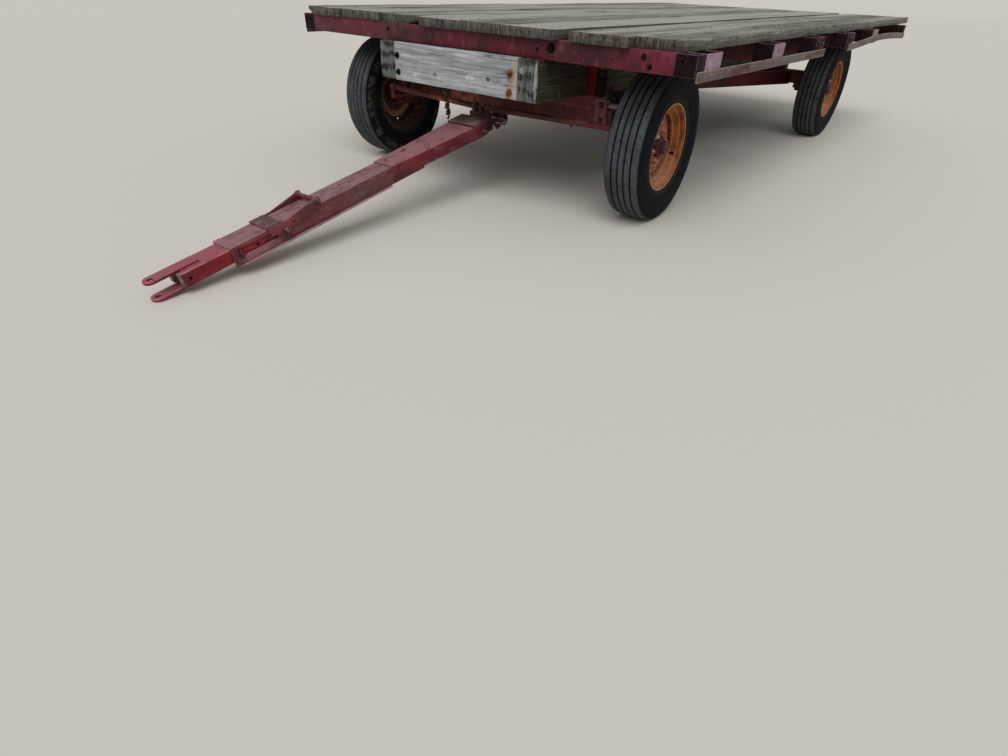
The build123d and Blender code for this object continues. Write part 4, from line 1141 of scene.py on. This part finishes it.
# Bolts through the board into the sills: finish, and places
boardBolts = {
    "board_bolts_rusted": ("rustBolt", [(0.407, -0.4905, 0.7), (0.405, -0.4905, 0.613)]),
    "board_bolts_dark": ("blackPlateAndShade", [(-0.432, -0.4905, 0.709), (-0.428, -0.4905, 0.623)]),
}
for name, (finish, spots) in boardBolts.items():
    put(boltRow([("hex13", "front", at) for at in spots]), name, finish)

# The left rear rail has been bent upwards between its ends: station from the front axle, lift
railBow = [(2.039, 0.0), (2.16, 0.002), (2.44, 0.012), (2.74, 0.025), (3.0, 0.03), (3.3, 0.027),
           (3.6, 0.019), (3.96, 0.006)]
bowNear = 0.02


def bowAt(station, side):
    if side > 0:
        for (before, low), (after, high) in zip(railBow, railBow[1:]):
            if before <= station <= after:
                return low + (high - low) * (station - before) / (after - before)
    return 0.0


bent = worn["rub_rail_rear_left"]
for station, lift in railBow:
    cutAcross(bent, (0, axleY + station, 0), (0, 1, 0))
for station, lift in railBow:
    with editingPicked(bent, "VERT", lambda vertex: abs(vertex.co.y - axleY - station) < bowNear):
        bpy.ops.transform.translate(value=(0, 0, lift))
smooth(bent)

# Rack bolts: header, rails, pockets, and the screws in the deck
rackBolts = {
    "header": [("hex17", 0.615, 0.829), ("dome9", 0.532, 0.817), ("dome14", 1.115, 0.836),
               ("hex9", 1.15, 0.8)],
    "headerFace": -0.4405,
    "rails": (-0.41, -0.3, -0.215, 0.515, 0.64, 1.285, 1.41, 2.075, 2.16, 2.73, 2.85, 3.93),
    "railFace": 1.3728, "railHeight": 0.779,
    "pockets": [(1.3, 0.835), (1.375, 0.828), (2.03, 0.835), (2.1, 0.83)],
    "pocketFace": 1.3652,
}
row = [(kind, "front", (x, rackBolts["headerFace"], z)) for kind, x, z in rackBolts["header"]]
put(boltRow(row), "header_bolts", "pocketSteel")
bolts, rivets, screws = [], [], []
for hand, side in hands.items():
    bolts += [("hex9", hand, (side * rackBolts["pocketFace"], y, z)) for y, z in rackBolts["pockets"]]
    rivets += [("dome9", hand, (side * rackBolts["railFace"], y, rackBolts["railHeight"] + bowAt(y, side)))
               for y in rackBolts["rails"]]
for number, (left, width, *wear) in enumerate(lanes):
    for station in deck["screwsAt"]:
        for share in deck["screwShares"]:
            # a small drift that differs from screw to screw
            drift = deck["screwDrift"] * math.sin(number * 5.1 + station * 7.7 + share * 9)
            at = (left + width * share + drift, station + drift, deckTop - deck["screwSunk"])
            screws.append(("dome6", "up", at))
put(boltRow(bolts), "rack_bolts", "boltSteel")
put(boltRow(rivets), "rail_rivets", "railPaint")
put(boltRow(screws), "deck_screws", "screwSteel")

# Running gear: the pivot's nut, then each side's lug bolts, bolster bolts and clamps; "out" faces outboard
gear = {
    "nut": ("hex22", "down", (0, -0.09, 0.3545)),
    "bolts": [
        ("hex9", "front", (0.722, -0.0305, 0.628)), ("hex9", "front", (0.72, -0.0305, 0.603)),
        ("hex9", "front", (0.672, -0.0305, 0.69)), ("hex13", "out", (0.6375, 0.01, 0.635)),
        ("hex13", "out", (0.6375, 0.01, 0.705)), ("hex13", "out", (0.6375, 3.16, 0.635)),
        ("hex13", "out", (0.6375, 3.16, 0.705)), ("hex13", "down", (0.465, 0.03, 0.4055)),
        ("hex13", "down", (0.035, 0.69, 0.4055)), ("hex13", "front", (0.702, -0.0555, 0.47)),
        ("hex13", "front", (0.702, -0.0555, 0.545))],
    "welds": [
        ([(0.585, -0.031, 0.5815), (0.637, -0.031, 0.5815)], 0.0035),
        ([(0.638, -0.03, 0.5815), (0.638, 0.03, 0.5815)], 0.0035),
        ([(0.2, -0.0455, 0.5205), (0.62, -0.0455, 0.5205)], 0.004),
        ([(0.2, 3.1145, 0.5005), (0.62, 3.1145, 0.5005)], 0.004),
        ([(0.7, -0.0455, 0.4455), (0.74, -0.0455, 0.4455), (0.7405, -0.0455, 0.575)], 0.0035)],
}
rows = [gear["nut"]]
for hand, side in hands.items():
    rows += [(kind, hand if facing == "out" else facing, (side * x, y, z))
             for kind, facing, (x, y, z) in gear["bolts"]]
put(boltRow(rows), "gear_bolts", "boltSteel")
beads = [line for row in gear["welds"] for line in eachSide(bead, *row)]
put(beads, "gear_welds", "gearEdge", "chassis")

# Welds of the cross channels on the sills and at the pockets: across, up
channelWelds = {
    "edge": 0.0505, "sill": [(0.46, 0.7755), (0.575, 0.7755)], "pocket": [(1.2645, 0.782), (1.2645, 0.862)],
}
beads = []
for station in channelsAt:
    for edge in (channelWelds["edge"], -channelWelds["edge"]):
        for ends in (channelWelds["sill"], channelWelds["pocket"]):
            beads += eachSide(bead, [(x, station + edge, z) for x, z in ends])
put(beads, "rack_welds", "rackEdge", "chassis")

# Tongue ironwork, drawn from the hinge
tongueBolts = [
    ("hex13", "up", (-0.03, -0.52, 0.0432)), ("hex9", "up", (-0.024, -0.665, 0.0432)),
    ("hex13", "left", (0.1172, 0, 0)), ("hex13", "right", (-0.1172, 0, 0)),
    ("hex17", "left", (0.0695, -1.39, 0)), ("hex17", "right", (-0.0695, -1.39, 0)),
    ("hex13", "left", (0.0695, -1.192, 0.061)), ("hex13", "right", (-0.0695, -1.192, 0.061)),
    ("dome9", "left", (0.0695, -1.335, 0.026)),
]
put(boltRow(tongueBolts), "tongue_bolts", "tongueBolt", "tongue", fromHinge)
sleeve = {
    "lip": [(0.044, -0.72, -0.0512), (0.0775, -0.73, -0.0512), (0.0775, -1.62, -0.0512),
            (0.0715, -1.634, -0.0512), (0.0615, -1.64, -0.0512), (0.044, -1.64, -0.0512)],
    "lipThick": (0, 0, 0.0032),
    "apron": [(0.0586, -1.42, -0.0275), (0.0586, -1.42, -0.014), (0.0625, -1.42, -0.014),
              (0.0662, -1.42, -0.047), (0.06, -1.42, -0.047)],
    "apronLong": (0, -0.212, 0), "apronEdge": 0.0008,
    "straps": (-1.652, -1.636),
    "strap": [(0.058, 0, 0.0385), (0.0645, 0, 0.0385), (0.0645, 0.004, -0.046), (0.056, 0.004, -0.0495)],
    "strapRadius": 0.0036, "strapBend": 0.006,
    # tab bent out of the flank beside the straps
    "tab": [(0.062, -1.612, 0.022), (0.07, -1.616, 0.024), (0.0745, -1.628, 0.02),
            (0.0745, -1.634, 0.012), (0.069, -1.622, 0.014), (0.062, -1.618, 0.014)],
    "tabLong": (0, 0.006, -0.036), "tabEdge": 0.0012,
}
plates = eachSide(plate, sleeve["lip"], sleeve["lipThick"])
plates += eachSide(plate, sleeve["apron"], sleeve["apronLong"], sleeve["apronEdge"])
put(plates, "sleeve_lips", "lipPaint", "tongue", fromHinge)
straps = eachSide(plate, sleeve["tab"], sleeve["tabLong"], sleeve["tabEdge"])
for station in sleeve["straps"]:
    straps += eachSide(rod, [(x, station + y, z) for x, y, z in sleeve["strap"]],
                       sleeve["strapRadius"], sleeve["strapBend"])
put(straps, "sleeve_straps", "tongueEdge", "tongue", fromHinge)

# Weld lines of the tongue and the clevis; those under "sides" are mirrored
tongueWelds = {
    "middle": [([(-0.066, -0.7045, 0.0385), (0.066, -0.7045, 0.0385)], 0.0028),
               ([(-0.094, -0.0725, 0.0435), (0.094, -0.0725, 0.0435)], 0.003)],
    "sides": [([(0.0632, -0.705, 0.036), (0.0632, -0.705, -0.028)], 0.0026),
              ([(0.0985, -0.068, 0.044), (0.0985, 0.04, 0.044)], 0.003),
              ([(0.0985, -0.072, 0.03), (0.0985, -0.072, -0.02)], 0.003),
              ([(0.0965, -0.09, 0.034), (0.0965, -0.09, -0.022)], 0.003)],
    "clevis": [([(-0.03, -1.786, 0.0335), (-0.03, -1.9, 0.0335)], 0.003),
               ([(0.03, -1.786, 0.0335), (0.03, -1.87, 0.0335)], 0.003),
               ([(-0.03, -1.784, 0.0335), (0.03, -1.784, 0.0335)], 0.0035),
               ([(0.031, -1.784, -0.032), (0.031, -1.87, -0.032)], 0.003)],
}
beads = [bead(*row) for row in tongueWelds["middle"]]
for row in tongueWelds["sides"]:
    beads += eachSide(bead, *row)
put(beads, "tongue_welds", "sleevePaint", "tongue", fromHinge)
beads = [bead(*row) for row in tongueWelds["clevis"]]
put(beads, "clevis_welds", "barEdge", "extension", fromHinge)

# Cover plate at the hinge and the latch's bridge: dark tops, and their front faces painted black as the
# shadow of a gap under the overhang
covers = {
    "tongue_box": lambda at: at.z > 0.0438 and at.y > -0.074,
    "latch_yoke": lambda at: at.z > 0.036 and -1.472 < at.y < -1.388 and abs(at.x) < 0.066,
}
coverLips = [       # outline, height, thickness
    ([(-0.0945, 0.058), (0.0945, 0.058), (0.0935, -0.079), (-0.0935, -0.079)], 0.0532, 0.003),
    ([(-0.0655, -1.394), (0.0655, -1.394), (0.0655, -1.474), (-0.0655, -1.474)], 0.0452, 0.0026),
]
home = fromHinge.inverted()
for node, within in covers.items():
    recoat(worn[node], steels["bridgeSteel"], lambda face: within(home @ face.center))
    # front faces under the lips are painted black: a painted shadow of the gap
    recoat(worn[node], steels["blackPlateAndShade"], lambda face: (
        within(home @ face.center) and (home.to_3x3() @ face.normal).y < -0.5))
plates = [plate([(x, y, z) for x, y in outline], (0, 0, thick)) for outline, z, thick in coverLips]
put(plates, "cover_lips", "bridgeSteel", "tongue", fromHinge)

# Drilled holes: frame, then rows of facing, place, radius, depth; their bores are painted black as shade
drillings = {
    "header": (fromAxle, [
        ("front", (-0.556, -0.44, 0.828), 0.011, 0.012), ("front", (0.96, -0.44, 0.812), 0.005, 0.012)]),
    "stake_pockets_left": (fromAxle, [
        ("front", (1.296, -0.44, 0.834), 0.0075, 0.012), ("front", (1.343, -0.44, 0.834), 0.0075, 0.012)]),
    "stake_pockets_right": (fromAxle, [
        ("front", (-1.296, -0.44, 0.83), 0.0075, 0.012), ("front", (-1.343, -0.44, 0.83), 0.0075, 0.012)]),
    "tongue_sleeve": (fromHinge, [("up", (-0.02, -0.985, 0.038), 0.0065, 0.008)]),
    "extension_bar": (fromHinge, [
        (hand, (side * 0.055, station, 0), 0.0065, 0.009)
        for hand, side in hands.items() for station in (-1.53, -1.852)]),
}
for node, (base, rows) in drillings.items():
    cutters = []
    for facing, at, radius, depth in rows:
        cutters.append(cylinder(16, radius, 2 * depth))
        cutters[-1].matrix_world = base @ Matrix.Translation(at) @ facings[facing]
    cutter = joined(cutters)
    # the bores are lined in black: painted shade inside the holes
    coat(cutter, steels["blackPlateAndShade"])
    cutAway(worn[node], cutter, material_mode="TRANSFER")
    smooth(worn[node])

# Stop welded between the tie-rod pins, and a loop of rod beside the steering bracket
stop = {
    "outline": [(-0.006, -0.266, 0.4065), (0.024, -0.264, 0.4065), (0.024, -0.234, 0.4065),
                (-0.006, -0.236, 0.4065)],
    "tall": (0, 0, 0.06), "edge": 0.003,
}
loop = {
    "points": [(0.07, -0.235, 0.418), (0.148, -0.205, 0.412), (0.152, -0.19, 0.384),
               (0.086, -0.205, 0.384)],
    "radius": 0.0055, "bend": 0.012,
}
stopPlate = plate(stop["outline"], stop["tall"], stop["edge"])
put([stopPlate], "pin_stop", "gearPaint", "steering")
loopRod = rod(loop["points"], loop["radius"], loop["bend"])
put([loopRod], "bracket_loop", "lilacEdge", "steering")

# Safety chain from the board down to the tongue's cover
chain = {"top": (-0.078, -0.47, 0.578), "bottom": (-0.08, -0.44, 0.424), "wire": 0.0058, "long": 0.034,
         "wide": 0.024, "bend": 0.008, "turn": 20}
across, along = chain["wide"] / 2, chain["long"] / 2
link = rod([(-across, 0, -along), (across, 0, -along), (across, 0, along), (-across, 0, along)],
           chain["wire"], chain["bend"], True, 1)
start, end = Vector(chain["top"]), Vector(chain["bottom"])
count = int((end - start).length / (chain["long"] - 2 * chain["wire"])) + 1
hang = (end - start).to_track_quat("-Z", "Y").to_matrix().to_4x4()
links = []
for number in range(count):
    turn = math.radians(90 * (number % 2) + chain["turn"])
    at = start.lerp(end, (number + 0.5) / count)
    links.append(copyOf(link, Matrix.Translation(at) @ hang @ Matrix.Rotation(turn, 4, "Z")))
hanging = put(links, "safety_chain", "chainIron")
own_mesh(hanging)
discard(link, *boltKinds.values())
print("ironwork made")

# Floor and light; what the camera sees of the sky has the lit floor's own tone
studio = {
    "skyLight": 0.44, "skySeen": (202, 199, 192),
    "sunPower": 1.9, "sunSpread": 50, "sunTurn": (38, 0, 28),       # degrees
    "floor": (206, 202, 194), "floorRough": 0.9, "floorWide": 80,
}
world = bpy.data.worlds.new("studio")
bpy.context.scene.world = world
world.use_nodes = True
sky = NodeTable(world.node_tree)
camera, glossy, transmitted = (
    sky.node("ShaderNodeLightPath", output=f"Is {ray} Ray") for ray in ("Camera", "Glossy", "Transmission"))
seen = sky.mix(camera.sum("MAXIMUM", camera, glossy.sum("MAXIMUM", glossy, transmitted)),
               (studio["skyLight"],) * 3 + (1,), studio["skySeen"])
sky.put(sky.tree.nodes["Background"].inputs["Color"], seen)

bpy.ops.object.light_add(type="SUN", rotation=tuple(math.radians(a) for a in studio["sunTurn"]))
bpy.context.object.data.energy = studio["sunPower"]
bpy.context.object.data.angle = math.radians(studio["sunSpread"])

clearSelection()
bpy.ops.mesh.primitive_plane_add(size=studio["floorWide"])
floor = bpy.context.object
floor.name = "floor"
coat(floor, Finish("paleFloor", studio["floor"]).done(studio["floorRough"]))
